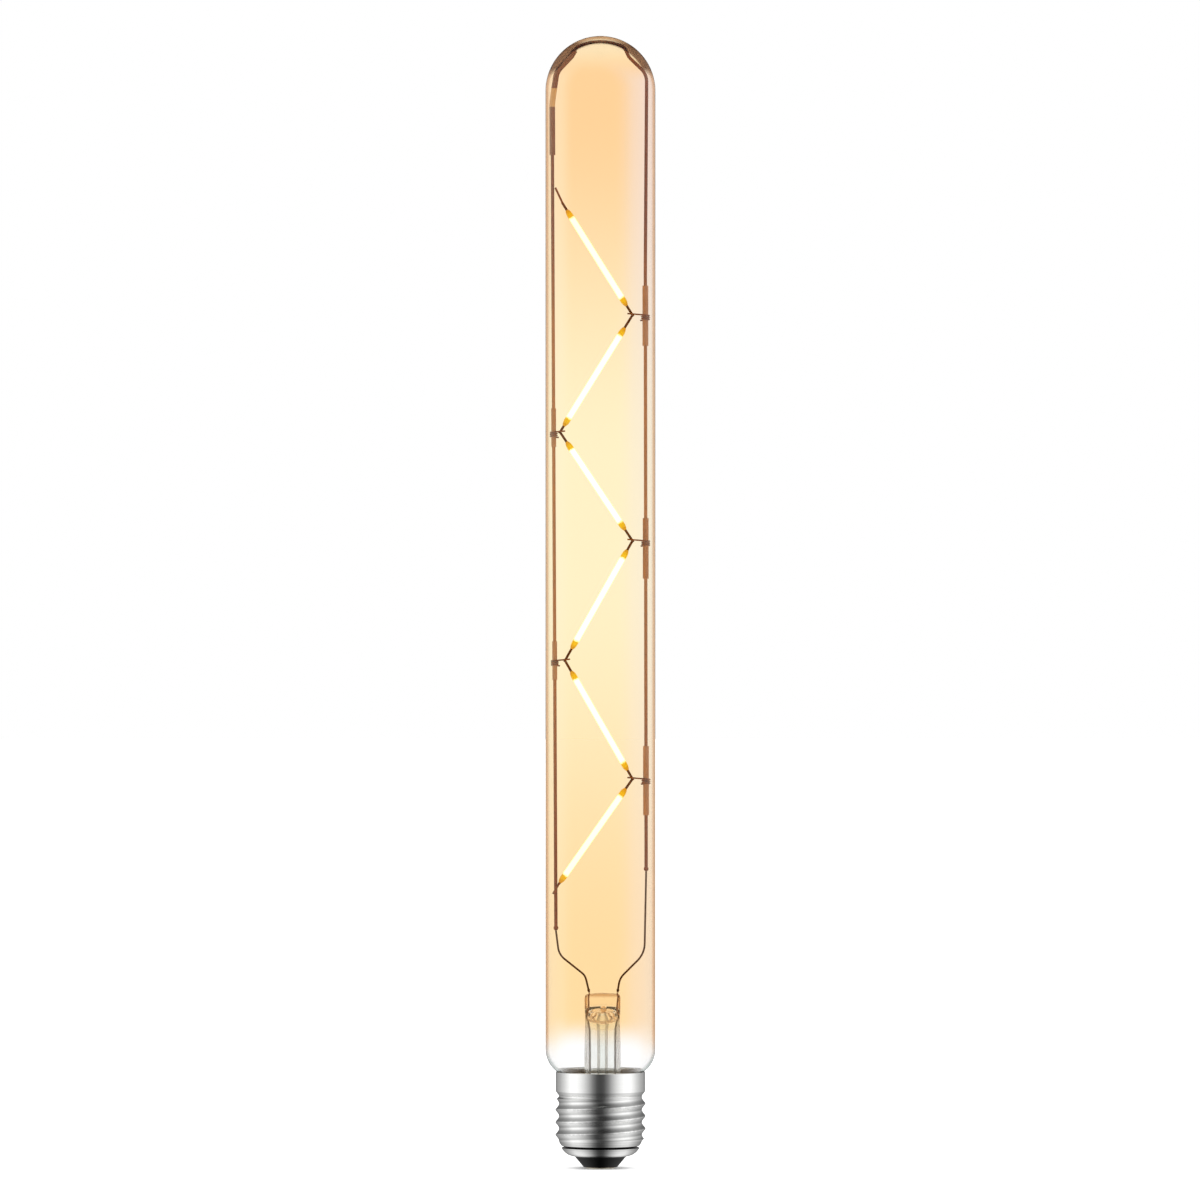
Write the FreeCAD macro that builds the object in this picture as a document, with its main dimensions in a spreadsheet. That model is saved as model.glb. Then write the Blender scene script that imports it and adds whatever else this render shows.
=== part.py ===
"""Tubular filament lamp with a screw cap: parametric model in millimetres.

The lamp stands on its centre contact. +Z runs up the axis to the dome, the rails lie left (-X)
and right (+X) of the axis, and the filaments zigzag between them in the XZ plane.
"""

import FreeCAD, Part
import math
import os

import Sketcher
from FreeCAD import Placement, Rotation, Vector

# Driving sizes

SIZES = {
    # glass tube
    "overall_length": 329.0,
    "tube_radius": 16.0,
    "glass_wall": 0.85,
    "shoulder_top": 34.6,
    "shoulder_foot": 25.0,
    "shoulder_share": 0.69,
    "neck_clearance": 0.75,
    "neck_foot": 18.0,
    # stem
    "stem_offset": 0.6,
    "stem_radius": 5.45,
    "stem_top_radius": 5.05,
    "stem_wall": 0.95,
    "flare_rim_height": 1.0,
    "flare_top": 25.0,
    "pinch_top": 50.9,
    "pinch_height": 6.4,
    "pinch_half_width": 5.2,
    "pinch_half_depth": 2.1,
    "pinch_blend": 1.0,
    "press_height": 3.0,
    "oval_margin": 0.01,
    "vent_rise": 3.3,
    "vent_radius": 0.8,
    "exhaust_radius": 1.55,
    "exhaust_wall": 0.5,
    "exhaust_tip": 12.6,
    "exhaust_clearance": 0.1,
    # lead-in wires, measured from the stem's middle and from the top of its pinch
    "lead_radius": 0.28,
    "seal_wire_radius": 0.2,
    "left_seal_top": -3.85,
    "left_seal_foot": -3.7,
    "right_seal_top": 4.35,
    "right_seal_foot": 3.7,
    "left_bend_inset": 0.9,
    "left_bend_rise": 11.15,
    "left_bend_radius": 5.0,
    "left_turn_offset": -5.06,
    "left_turn_rise": 5.1,
    "left_turn_radius": 3.6,
    "right_bend_inset": 0.5,
    "right_bend_rise": 11.45,
    "right_bend_radius": 7.0,
    "right_turn_offset": 5.04,
    "right_turn_rise": 4.3,
    "right_turn_radius": 5.0,
    "bead_radius": 0.42,
    "weld_gap": 0.13,
    # rails: feet above the pinch, gaps to the bore of the glass, heights from the dome's foot
    "rail_radius": 0.5,
    "rail_knob_radius": 0.72,
    "left_rail_rise": 18.9,
    "left_rail_foot_gap": 2.2,
    "left_rail_top_gap": 1.1,
    "left_rail_top_drop": 4.7,
    "right_rail_rise": 36.1,
    "right_rail_foot_gap": 1.85,
    "right_rail_waist_gap": 2.1,
    "right_rail_waist_drop": 51.0,
    "arch_clearance": 0.15,
    "arch_right_corner_gap": 1.7,
    "arch_right_corner_rise": 4.9,
    "arch_right_kink_reach": 1.3,
    "arch_right_kink_rise": 9.9,
    "arch_left_corner_gap": 2.4,
    "arch_left_corner_rise": 5.7,
    "arch_left_kink_reach": 1.5,
    "arch_left_kink_rise": 10.2,
    "arch_end_rise": 0.9,
    "crown_contact_share": 0.4276,
    "crown_corner_share": 0.4828,
    "arch_bend_radius": 5.0,
    "crown_bend_radius": 2.0,
    "kink_bend_radius": 3.0,
    "waist_bend_radius": 60.0,
    "elbow_bend_radius": 15.0,
    "elbow_rise": 1.2,
    # sleeves on the rails
    "sleeve_clearance": 0.06,
    "right_sleeve_radius": 0.86,
    "left_sleeve_radius": 0.72,
    "top_sleeve_foot_drop": 18.6,
    "top_sleeve_end_reach": 0.5,
    # tie wires
    "tie_wire_radius": 0.22,
    "tie_wire_turns": 2.5,
    "tie_wire_pitch": 0.56,
    "tie_wire_gap": 0.03,
    "tie_wire_free_end": 1.5,
    "tie_wire_tail": 1.6,
    # filaments
    "coat_radius": 1.0,
    "coat_end_radius": 0.55,
    "coat_cone_length": 2.8,
    "coat_flank_radius": 9.0,
    "slot_overrun": 0.5,
    "strip_width": 0.72,
    "strip_thickness": 0.3,
    "terminal_seat": 2.0,
    "terminal_lap": 0.45,
    "link_terminal_length": 2.6,
    "foot_terminal_length": 0.6,
    "link_wire_radius": 0.3,
    "link_lap": 0.5,
    "link_clearance": 0.2,
    "link_overhang": 1.5,
    # screw cap, sized from the root of its thread
    "thread_root_radius": 12.05,
    "thread_depth": 1.05,
    "thread_pitch": 3.629,
    "thread_foot": 7.9,
    "crest_round": 0.65,
    "root_round": 1.4,
    "root_land": 0.3,
    "runout_margin": 0.1,
    "collar_rise": 0.95,
    "collar_foot": 22.3,
    "collar_step": 1.5,
    "rim_clearance": 0.1,
    "sheet_wall": 0.3,
    "heel_inset": 0.7,
    "groove_height": 6.25,
    "groove_depth": 0.55,
    "groove_width": 0.5,
    "shell_foot": 3.5,
    "shell_foot_width": 3.75,
    "heel_round": 4.2,
    # insulator, contact and cement
    "insulator_foot": 0.35,
    "insulator_taper": 2.7,
    "insulator_floor": 5.0,
    "insulator_ledge": 7.4,
    "insulator_ledge_width": 0.85,
    "insulator_rim": 9.0,
    "insulator_rim_wall": 0.9,
    "contact_inset": 0.5,
    "contact_edge": 1.4,
    "contact_edge_round": 3.2,
    "contact_seat": 1.0,
    "contact_boss_radius": 1.5,
    "contact_boss_height": 1.6,
    "cement_step": 0.3,
    "cement_drop": 0.8,
    # driver
    "board_thickness": 1.0,
    "board_clearance": 0.1,
    "live_wire_radius": 0.4,
    "neutral_wire_radius": 0.3,
    "neutral_wire_rise": 2.2,
    "neutral_wire_bend": 0.8,
    "neutral_wire_gap": 0.1,
    "leg_width": 0.5,
    "leg_thickness": 0.3,
    "rectifier_side": 4.7,
    "rectifier_height": 2.4,
    "rectifier_leg": 0.9,
    "rectifier_across": -1.0,
    "rectifier_depth": -5.6,
    "chip_length": 4.9,
    "chip_width": 3.9,
    "chip_height": 1.5,
    "chip_leg": 0.8,
    "chip_across": 4.3,
    "chip_depth": -3.6,
    "capacitor_radius": 3.15,
    "capacitor_height": 7.0,
    "capacitor_neck": 1.2,
    "capacitor_neck_cut": 0.25,
    "capacitor_edge": 0.4,
    "capacitor_across": -4.6,
    "capacitor_depth": 4.2,
    "resistor_radius": 1.2,
    "resistor_length": 6.2,
    "resistor_waist_cut": 0.2,
    "resistor_edge": 0.4,
    "resistor_end_length": 1.4,
    "resistor_across": 2.2,
    "resistor_depth": 6.3,
}

# Joints of the zigzag from the top down: distance in from the rail, and share of the left rail

JOINTS = [(0.092, 0.90189), (3.75, 0.74675), (1.855, 0.60419), (3.844, 0.4717),
          (3.008, 0.32579), (3.943, 0.18155), (-0.198, 0.04696)]

# Sleeves of joints one to five: rise of the middle above the joint, and length

SLEEVES = [(-0.2, 17.5), (1.3, 11.2), (-2.2, 17.6), (0.0, 11.2), (-0.5, 20.1)]

# Filaments from the top down: bare length below the coat, and above it

FILAMENTS = [(3.2, 7.66), (2.1, 4.3), (3.8, 3.39), (3.9, 3.05), (2.9, 3.6), (2.4, 3.41)]

NUMBER_WORDS = ["zero", "one", "two", "three", "four", "five", "six"]

for number, (inset, share) in enumerate(JOINTS):
    SIZES["joint_inset_" + NUMBER_WORDS[number]] = inset
    SIZES["joint_share_" + NUMBER_WORDS[number]] = share
for number, (rise, length) in enumerate(SLEEVES, start=1):
    SIZES["sleeve_rise_" + NUMBER_WORDS[number]] = rise
    SIZES["sleeve_length_" + NUMBER_WORDS[number]] = length
for number, (below, above) in enumerate(FILAMENTS, start=1):
    SIZES["bare_below_" + NUMBER_WORDS[number]] = below
    SIZES["bare_above_" + NUMBER_WORDS[number]] = above

doc = FreeCAD.newDocument("tubular_lamp")
sheet = doc.addObject("Spreadsheet::Sheet", "Sizes")
for row, (alias, number) in enumerate(SIZES.items(), start=1):
    sheet.set(f"A{row}", alias.replace("_", " "))
    sheet.set(f"B{row}", str(number))
    sheet.setAlias(f"B{row}", alias)
doc.recompute()


class Size:
    """A number, with the sheet formula that it follows."""

    def __init__(self, number, formula):
        self.number = number
        self.formula = formula

    def __add__(self, other):
        other = as_size(other)
        return Size(self.number + other.number, f"({self.formula} + {other.formula})")

    def __sub__(self, other):
        other = as_size(other)
        return Size(self.number - other.number, f"({self.formula} - {other.formula})")

    def __mul__(self, other):
        other = as_size(other)
        return Size(self.number * other.number, f"({self.formula} * {other.formula})")

    def __truediv__(self, other):
        other = as_size(other)
        return Size(self.number / other.number, f"({self.formula} / {other.formula})")

    def __neg__(self):
        return Size(-self.number, f"(0 - {self.formula})")


def as_size(value):
    """A Size as it is, or a plain number as a Size."""
    if isinstance(value, Size):
        return value
    return Size(float(value), f"({float(value)})")


def size(alias):
    """The Size of one cell of the sheet."""
    return Size(float(sheet.get(alias)), f"Sizes.{alias}")


def root(value):
    """Square root of a Size."""
    return Size(math.sqrt(value.number), f"sqrt({value.formula})")


def length_of(across, up):
    """Length of the line with these two components."""
    return root(across * across + up * up)


def lean_of(across, up):
    """Angle from +Z towards +X of the line with these two components, in degrees."""
    angle = math.degrees(math.atan2(across.number, up.number))
    return Size(angle, f"atan2({across.formula}; {up.formula})")


ZERO = as_size(0)


# Sketches

def body_for(label):
    """A new body for one sub-part."""
    body = doc.addObject("PartDesign::Body", label)
    body.Label = label
    return body


def sketch_on(body, name, role="XZ_Plane", height=None):
    """An empty sketch on one of the body's own origin planes, raised by height."""
    sketch = body.newObject("Sketcher::SketchObject", name)
    plane = [item for item in body.Origin.OriginFeatures if item.Role == role][0]
    sketch.AttachmentSupport = [(plane, "")]
    sketch.MapMode = "FlatFace"
    if height is not None:
        sketch.setExpression(".AttachmentOffset.Base.z", height.formula)
    return sketch


def lock_coordinate(sketch, element, corner, kind, coordinate):
    """Tie one coordinate of a point of the sketch to its formula."""
    if coordinate.formula == ZERO.formula:
        # In a sketch, geometry -1 is the level axis and -2 the vertical one
        axis = -2 if kind == "DistanceX" else -1
        sketch.addConstraint(Sketcher.Constraint("PointOnObject", element, corner, axis))
        return
    index = sketch.addConstraint(
        Sketcher.Constraint(kind, element, corner, coordinate.number))
    sketch.setExpression(f"Constraints[{index}]", coordinate.formula)


def lock_point(sketch, element, corner, point):
    """Tie a point of the sketch to the formulas of its two coordinates."""
    lock_coordinate(sketch, element, corner, "DistanceX", point[0])
    lock_coordinate(sketch, element, corner, "DistanceY", point[1])


def lock_radius(sketch, element, radius):
    """Tie the radius of an arc or circle to its formula."""
    index = sketch.addConstraint(Sketcher.Constraint("Radius", element, radius.number))
    sketch.setExpression(f"Constraints[{index}]", radius.formula)


def flat(point):
    """The sketch vector of a point given by two Sizes."""
    return Vector(point[0].number, point[1].number, 0)


class Bow:
    """A step of an outline: an arc to a point, turning left (+1) or right (-1)."""

    def __init__(self, end, radius, turn):
        self.end = (as_size(end[0]), as_size(end[1]))
        self.radius = as_size(radius)
        self.turn = turn


def draw_arc(sketch, start, end, radius, turn):
    """Add the arc from start to end, and give its index and which of its ends come first."""
    chord = end - start
    side = Vector(-chord.y, chord.x, 0).normalize() * turn
    rise = math.sqrt(max(radius ** 2 - chord.Length ** 2 / 4, 0.0))
    centre = (start + end) * 0.5 + side * rise
    first, last = (start, end) if turn > 0 else (end, start)
    angles = [math.atan2(point.y - centre.y, point.x - centre.x) for point in (first, last)]
    if angles[1] < angles[0]:
        angles[1] += 2 * math.pi
    ring = Part.Circle(centre, Vector(0, 0, 1), radius)
    index = sketch.addGeometry(Part.ArcOfCircle(ring, angles[0], angles[1]), False)
    return index, ((1, 2) if turn > 0 else (2, 1))


def outline(sketch, steps):
    """Add a closed outline through the steps, each a point or a Bow, in order."""
    count = len(steps)
    base = sketch.GeometryCount
    ends = []
    for step in steps:
        point = step.end if isinstance(step, Bow) else step
        ends.append((as_size(point[0]), as_size(point[1])))
    corners = []
    for index, step in enumerate(steps):
        start, end = flat(ends[index - 1]), flat(ends[index])
        if isinstance(step, Bow):
            _, order = draw_arc(sketch, start, end, step.radius.number, step.turn)
            corners.append(order)
        else:
            sketch.addGeometry(Part.LineSegment(start, end), False)
            corners.append((1, 2))
    for index in range(count):
        following = (index + 1) % count
        sketch.addConstraint(Sketcher.Constraint(
            "Coincident", base + index, corners[index][1],
            base + following, corners[following][0]))
        lock_point(sketch, base + index, corners[index][1], ends[index])
        if isinstance(steps[index], Bow):
            lock_radius(sketch, base + index, steps[index].radius)


def circle(sketch, centre, radius):
    """A circle tied to its centre and radius."""
    centre = (as_size(centre[0]), as_size(centre[1]))
    index = sketch.addGeometry(Part.Circle(flat(centre), Vector(0, 0, 1), radius.number), False)
    lock_point(sketch, index, 3, centre)
    lock_radius(sketch, index, radius)


def ellipse(sketch, centre, half_width, half_depth):
    """An ellipse with its long axis along X, tied to its centre and half axes."""
    centre = (as_size(centre[0]), as_size(centre[1]))
    middle = flat(centre)
    wide = middle + Vector(half_width.number, 0, 0)
    deep = middle + Vector(0, half_depth.number, 0)
    index = sketch.addGeometry(Part.Ellipse(wide, deep, middle), False)
    sketch.exposeInternalGeometry(index)
    lock_point(sketch, index, 3, centre)
    lock_point(sketch, index + 1, 1, (centre[0] + half_width, centre[1]))
    lock_coordinate(sketch, index + 2, 1, "DistanceY", centre[1] + half_depth)


def rectangle(sketch, half_width, half_depth, centre=(0, 0)):
    """A rectangle round a centre."""
    across, along = as_size(centre[0]), as_size(centre[1])
    left, right = across - half_width, across + half_width
    near, far = along - half_depth, along + half_depth
    outline(sketch, [(left, near), (right, near), (right, far), (left, far)])


def route(sketch, corners, bends):
    """An open path of straight runs, rounded at its inner corners by tangent arcs."""
    corners = [(as_size(across), as_size(up)) for across, up in corners]
    points = [flat(corner) for corner in corners]
    cuts = [(points[0], points[0])]
    for before, at, after, bend in zip(points, points[1:], points[2:], bends):
        into, out = (at - before).normalize(), (after - at).normalize()
        turn = math.acos(max(-1.0, min(1.0, into.dot(out))))
        reach = bend.number * math.tan(turn / 2)
        cuts.append((at - into * reach, at + out * reach))
    cuts.append((points[-1], points[-1]))
    lines = []
    for start, end in zip(cuts, cuts[1:]):
        lines.append(sketch.addGeometry(Part.LineSegment(start[1], end[0]), False))
    for place, bend in enumerate(bends, start=1):
        start, end = cuts[place]
        into = points[place] - points[place - 1]
        out = points[place + 1] - points[place]
        turn = 1 if into.cross(out).z > 0 else -1
        arc, (first, last) = draw_arc(sketch, start, end, bend.number, turn)
        before, after = lines[place - 1], lines[place]
        sketch.addConstraint(Sketcher.Constraint("Tangent", before, 2, arc, first))
        sketch.addConstraint(Sketcher.Constraint("Tangent", arc, last, after, 1))
        lock_radius(sketch, arc, bend)
        corner = sketch.addGeometry(Part.Point(points[place]), True)
        sketch.addConstraint(Sketcher.Constraint("PointOnObject", corner, 1, before))
        sketch.addConstraint(Sketcher.Constraint("PointOnObject", corner, 1, after))
        lock_point(sketch, corner, 1, corners[place])
    lock_point(sketch, lines[0], 1, corners[0])
    lock_point(sketch, lines[-1], 2, corners[-1])


# Features

def revolve(body, sketch):
    """Turn a sketch of the XZ plane once round the Z axis."""
    feature = body.newObject("PartDesign::Revolution", "Turned")
    feature.Profile = sketch
    feature.ReferenceAxis = (sketch, ["V_Axis"])
    feature.Angle = 360
    return feature


def groove(body, sketch):
    """Cut a sketch of the XZ plane out all the way round the Z axis."""
    feature = body.newObject("PartDesign::Groove", "Cut")
    feature.Profile = sketch
    feature.ReferenceAxis = (sketch, ["V_Axis"])
    feature.Angle = 360
    return feature


def pad(body, sketch, height):
    """Raise a sketch to a height."""
    feature = body.newObject("PartDesign::Pad", "Raised")
    feature.Profile = sketch
    feature.setExpression("Length", height.formula)
    return feature


def loft(body, kind, sections):
    """A ruled loft through the sections, added or cut."""
    feature = body.newObject(kind, "Lofted")
    feature.Profile = sections[0]
    feature.Sections = sections[1:]
    feature.Ruled = True
    return feature


def pipe(body, kind, profile, path):
    """A section swept along a path, added or cut."""
    feature = body.newObject(kind, "Swept")
    feature.Profile = profile
    drawn = [item for item in range(path.GeometryCount) if not path.getConstruction(item)]
    feature.Spine = (path, [f"Edge{number}" for number in range(1, len(drawn) + 1)])
    return feature


def turned(label, steps):
    """A sub-part turned from one outline."""
    body = body_for(label)
    sketch = sketch_on(body, "Outline")
    outline(sketch, steps)
    revolve(body, sketch)
    return body


def rod(label, radius, length):
    """A round rod that stands on its own origin."""
    body = body_for(label)
    sketch = sketch_on(body, "Section", "XY_Plane")
    circle(sketch, (0, 0), radius)
    pad(body, sketch, length)
    return body


def place(body, across, up, lean=None, depth=None):
    """Put a body's origin at a point, leaning from +Z towards +X."""
    body.Placement = Placement(Vector(), Rotation(Vector(0, 1, 0), 1e-3))
    body.setExpression(".Placement.Base.x", as_size(across).formula)
    body.setExpression(".Placement.Base.z", as_size(up).formula)
    if depth is not None:
        body.setExpression(".Placement.Base.y", as_size(depth).formula)
    if lean is None:
        body.Placement = Placement()
    else:
        body.setExpression(".Placement.Rotation.Angle", lean.formula)


def rod_between(label, radius, foot, top, depth=None):
    """A round rod from one point of the XZ plane to another."""
    across, up = top[0] - foot[0], top[1] - foot[1]
    body = rod(label, radius, length_of(across, up))
    place(body, foot[0], foot[1], lean_of(across, up), depth)
    return body


sub_parts = []


def keep(item):
    """Add a finished sub-part to those that are written."""
    sub_parts.append(item)
    return item


# Sizes that several pieces share

tube_radius = size("tube_radius")
glass_wall = size("glass_wall")
bore_radius = tube_radius - glass_wall
sheet_wall = size("sheet_wall")
thread_root = size("thread_root_radius")
thread_crest = thread_root + size("thread_depth")
collar_radius = thread_root + size("collar_rise")
collar_bore = collar_radius - sheet_wall
collar_foot = size("collar_foot")
neck_radius = thread_root - sheet_wall - size("neck_clearance")
neck_foot = size("neck_foot")
overall_length = size("overall_length")
shoulder_top = size("shoulder_top")
shoulder_foot = size("shoulder_foot")
shoulder_share = size("shoulder_share")
dome_base = overall_length - tube_radius

# The shoulder is two tangent arcs, the upper one hollow side in and the lower one hollow side out
shoulder_drop = shoulder_top - shoulder_foot
shoulder_step = tube_radius - neck_radius
arc_sum = (shoulder_drop * shoulder_drop + shoulder_step * shoulder_step) / (shoulder_step * 2)
upper_arc = arc_sum * shoulder_share
lower_arc = arc_sum - upper_arc
junction = (tube_radius - shoulder_step * shoulder_share,
            shoulder_top - shoulder_drop * shoulder_share)
junction_across = (upper_arc - shoulder_step * shoulder_share) / upper_arc
junction_down = shoulder_drop * shoulder_share / upper_arc
inner_junction = (junction[0] - glass_wall * junction_across,
                  junction[1] + glass_wall * junction_down)


def shoulder_height(radius):
    """Height at which the outer face of the upper shoulder arc has this radius."""
    inward = upper_arc - (tube_radius - radius)
    return shoulder_top - root(upper_arc * upper_arc - inward * inward)


rim_height = shoulder_height(collar_bore) - size("rim_clearance")


def glass_envelope():
    """Blown tube with a round dome, drawn in at the shoulder to a neck."""
    crown = overall_length - glass_wall
    return turned("glass_envelope", [
        (neck_radius, neck_foot),
        (neck_radius, shoulder_foot),
        Bow(junction, lower_arc, -1),
        Bow((tube_radius, shoulder_top), upper_arc, 1),
        (tube_radius, dome_base),
        Bow((0, overall_length), tube_radius, 1),
        (0, crown),
        Bow((bore_radius, dome_base), bore_radius, -1),
        (bore_radius, shoulder_top),
        Bow(inner_junction, upper_arc - glass_wall, -1),
        Bow((neck_radius - glass_wall, shoulder_foot), lower_arc + glass_wall, 1),
        (neck_radius - glass_wall, neck_foot),
    ])


# Stem

stem_offset = size("stem_offset")
stem_wall = size("stem_wall")
pinch_top = size("pinch_top")
pinch_foot = pinch_top - size("pinch_height")
seal_wire_radius = size("seal_wire_radius")
exhaust_radius = size("exhaust_radius")
seal_ends = {
    "left": ((stem_offset + size("left_seal_foot"), pinch_foot),
             (stem_offset + size("left_seal_top"), pinch_top)),
    "right": ((stem_offset + size("right_seal_foot"), pinch_foot),
              (stem_offset + size("right_seal_top"), pinch_top)),
}


def stem_section(body, name, height, half_width, half_depth, centre):
    """One level section of the stem, round or oval."""
    sketch = sketch_on(body, name, "XY_Plane", height)
    ellipse(sketch, (centre, 0), half_width, half_depth)
    return sketch


def stem_glass():
    """Flared foot, tube and flat pinch in one piece, with a vent and two wire channels."""
    body = body_for("stem_glass")
    rim_foot = neck_foot - size("flare_rim_height")
    flare_top = size("flare_top")
    stem_radius = size("stem_radius")
    top_radius = size("stem_top_radius")
    half_width, half_depth = size("pinch_half_width"), size("pinch_half_depth")
    press_foot = pinch_foot - size("press_height")
    flare = neck_radius - glass_wall * 2
    margin = size("oval_margin")

    rim = sketch_on(body, "Rim", "XY_Plane", rim_foot)
    circle(rim, (0, 0), neck_radius)
    pad(body, rim, size("flare_rim_height"))

    middle = (neck_foot + flare_top) / 2
    waist = (flare + stem_radius * 3) / 4
    outer = [(neck_foot, flare, flare, ZERO),
             (middle, waist, waist, stem_offset / 2),
             (flare_top, stem_radius, stem_radius, stem_offset),
             (press_foot, top_radius, top_radius, stem_offset),
             (pinch_foot + size("pinch_blend"), half_width, half_depth, stem_offset),
             (pinch_top, half_width, half_depth, stem_offset)]
    sections = []
    for number, (height, wide, deep, centre) in enumerate(outer):
        sections.append(stem_section(body, f"Outer{number}", height, wide + margin, deep, centre))
    loft(body, "PartDesign::AdditiveLoft", sections)

    cavity_width = size("right_seal_foot") + seal_wire_radius * 2
    cavity_depth = exhaust_radius + size("exhaust_clearance")
    inner = [(rim_foot, neck_radius - stem_wall, neck_radius - stem_wall, ZERO),
             (neck_foot, flare - stem_wall, flare - stem_wall, ZERO)]
    for height, wide, deep, centre in outer[1:4]:
        inner.append((height, wide - stem_wall, deep - stem_wall, centre))
    inner.append((pinch_foot, cavity_width, cavity_depth, stem_offset))
    sections = []
    for number, (height, wide, deep, centre) in enumerate(inner):
        sections.append(stem_section(body, f"Inner{number}", height, wide + margin, deep, centre))
    loft(body, "PartDesign::SubtractiveLoft", sections)

    vent_radius = size("vent_radius")
    vent_height = pinch_foot + size("vent_rise")
    duct = sketch_on(body, "Duct", "XY_Plane", pinch_foot)
    circle(duct, (stem_offset, 0), vent_radius)
    cut = body.newObject("PartDesign::Pocket", "DuctCut")
    cut.Profile = duct
    cut.Reversed = True
    cut.setExpression("Length", (vent_height - pinch_foot).formula)
    mouth = sketch_on(body, "Vent")
    circle(mouth, (stem_offset, vent_height), vent_radius)
    cut = body.newObject("PartDesign::Pocket", "VentCut")
    cut.Profile = mouth
    cut.Reversed = True
    cut.setExpression("Length", (half_depth * 2).formula)

    for side, (foot, top) in seal_ends.items():
        across, up = top[0] - foot[0], top[1] - foot[1]
        channel = body.newObject("PartDesign::SubtractiveCylinder", f"{side}_channel")
        channel.setExpression("Radius", seal_wire_radius.formula)
        channel.setExpression("Height", length_of(across, up).formula)
        channel.Placement = Placement(Vector(), Rotation(Vector(0, 1, 0), 1e-3))
        channel.setExpression(".Placement.Base.x", foot[0].formula)
        channel.setExpression(".Placement.Base.z", foot[1].formula)
        channel.setExpression(".Placement.Rotation.Angle", lean_of(across, up).formula)
    return body


def exhaust_tube():
    """Thin tube that hangs from the roof of the stem's hollow, melted shut at its tip."""
    wall = size("exhaust_wall")
    tip = size("exhaust_tip")
    bore = exhaust_radius - wall
    body = turned("exhaust_tube", [
        (0, tip),
        Bow((exhaust_radius, tip + exhaust_radius), exhaust_radius, 1),
        (exhaust_radius, pinch_foot),
        (bore, pinch_foot),
        (bore, tip + exhaust_radius),
        Bow((0, tip + wall), bore, -1),
    ])
    place(body, stem_offset, 0)
    return body


# Rails

rail_radius = size("rail_radius")
knob_radius = size("rail_knob_radius")
left_foot = (-(bore_radius - size("left_rail_foot_gap")), pinch_top + size("left_rail_rise"))
left_top = (-(bore_radius - size("left_rail_top_gap")), dome_base - size("left_rail_top_drop"))
right_foot = (bore_radius - size("right_rail_foot_gap"), pinch_top + size("right_rail_rise"))
right_waist = (bore_radius - size("right_rail_waist_gap"),
               dome_base - size("right_rail_waist_drop"))
arch_right = (bore_radius - size("arch_right_corner_gap"),
              dome_base + size("arch_right_corner_rise"))
arch_left = (-(bore_radius - size("arch_left_corner_gap")),
             dome_base + size("arch_left_corner_rise"))
arch_bend = size("arch_bend_radius")
kink_bend = size("kink_bend_radius")
crown_radius = bore_radius - size("arch_clearance") - rail_radius
crown_contact = crown_radius * size("crown_contact_share")
crown_drop = root(crown_radius * crown_radius - crown_contact * crown_contact)
crown_top = (ZERO, dome_base + crown_radius * crown_radius / crown_drop)
crown_corner = crown_radius * size("crown_corner_share")
corner_height = crown_top[1] - crown_corner * crown_contact / crown_drop
crown_right = (crown_corner, corner_height)
crown_left = (-crown_corner, corner_height)
kink_right = (crown_corner + size("arch_right_kink_reach"),
              dome_base + size("arch_right_kink_rise"))
kink_left = (-(crown_corner + size("arch_left_kink_reach")),
             dome_base + size("arch_left_kink_rise"))


def along(start, end, height):
    """The point at this height on the line through two points."""
    share = (height - start[1]) / (end[1] - start[1])
    return (start[0] + (end[0] - start[0]) * share, height)


def knob(body, centre):
    """The round bead at a wire's end."""
    ball = body.newObject("PartDesign::AdditiveSphere", "Bead")
    ball.setExpression("Radius", centre[2].formula)
    ball.setExpression(".Placement.Base.x", centre[0].formula)
    ball.setExpression(".Placement.Base.z", centre[1].formula)


def left_rail():
    """Straight rod with a bead at its foot."""
    across, up = left_top[0] - left_foot[0], left_top[1] - left_foot[1]
    body = rod("left_rail", rail_radius, length_of(across, up))
    knob(body, (ZERO, ZERO, knob_radius))
    place(body, left_foot[0], left_foot[1], lean_of(across, up))
    return body


def sleeve_elbow():
    """The bend of the top sleeve, just above the end of the left rail."""
    return along(left_foot, left_top, left_top[1] + size("elbow_rise"))


def right_rail():
    """Rod that runs up the right side and over the dome to the left."""
    body = body_for("right_rail")
    section = sketch_on(body, "Section", "XY_Plane", right_foot[1])
    circle(section, (right_foot[0], 0), rail_radius)
    path = sketch_on(body, "Path")
    crown_bend = size("crown_bend_radius")
    end = along(sleeve_elbow(), arch_left, dome_base + size("arch_end_rise"))
    route(path, [right_foot, right_waist, arch_right, kink_right, crown_right, crown_top,
                 crown_left, kink_left, arch_left, end],
          [size("waist_bend_radius"), arch_bend, kink_bend, crown_bend, crown_radius,
           crown_bend, kink_bend, arch_bend])
    pipe(body, "PartDesign::AdditivePipe", section, path)
    knob(body, (right_foot[0], right_foot[1], knob_radius))
    return body


def top_sleeve():
    """Bent glass tube that holds the arch's end and the left rail's end apart."""
    body = body_for("top_sleeve")
    foot = along(left_foot, left_top, dome_base - size("top_sleeve_foot_drop"))
    end_offset = -(crown_corner + size("top_sleeve_end_reach"))
    share = (end_offset - kink_left[0]) / (crown_left[0] - kink_left[0])
    end = (end_offset, kink_left[1] + (crown_left[1] - kink_left[1]) * share)
    section = sketch_on(body, "Section", "XY_Plane", foot[1])
    circle(section, (foot[0], 0), size("right_sleeve_radius"))
    circle(section, (foot[0], 0), rail_radius + size("sleeve_clearance"))
    path = sketch_on(body, "Path")
    route(path, [foot, sleeve_elbow(), arch_left, kink_left, end],
          [size("elbow_bend_radius"), arch_bend, kink_bend])
    pipe(body, "PartDesign::AdditivePipe", section, path)
    return body


# Joints of the zigzag

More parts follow.
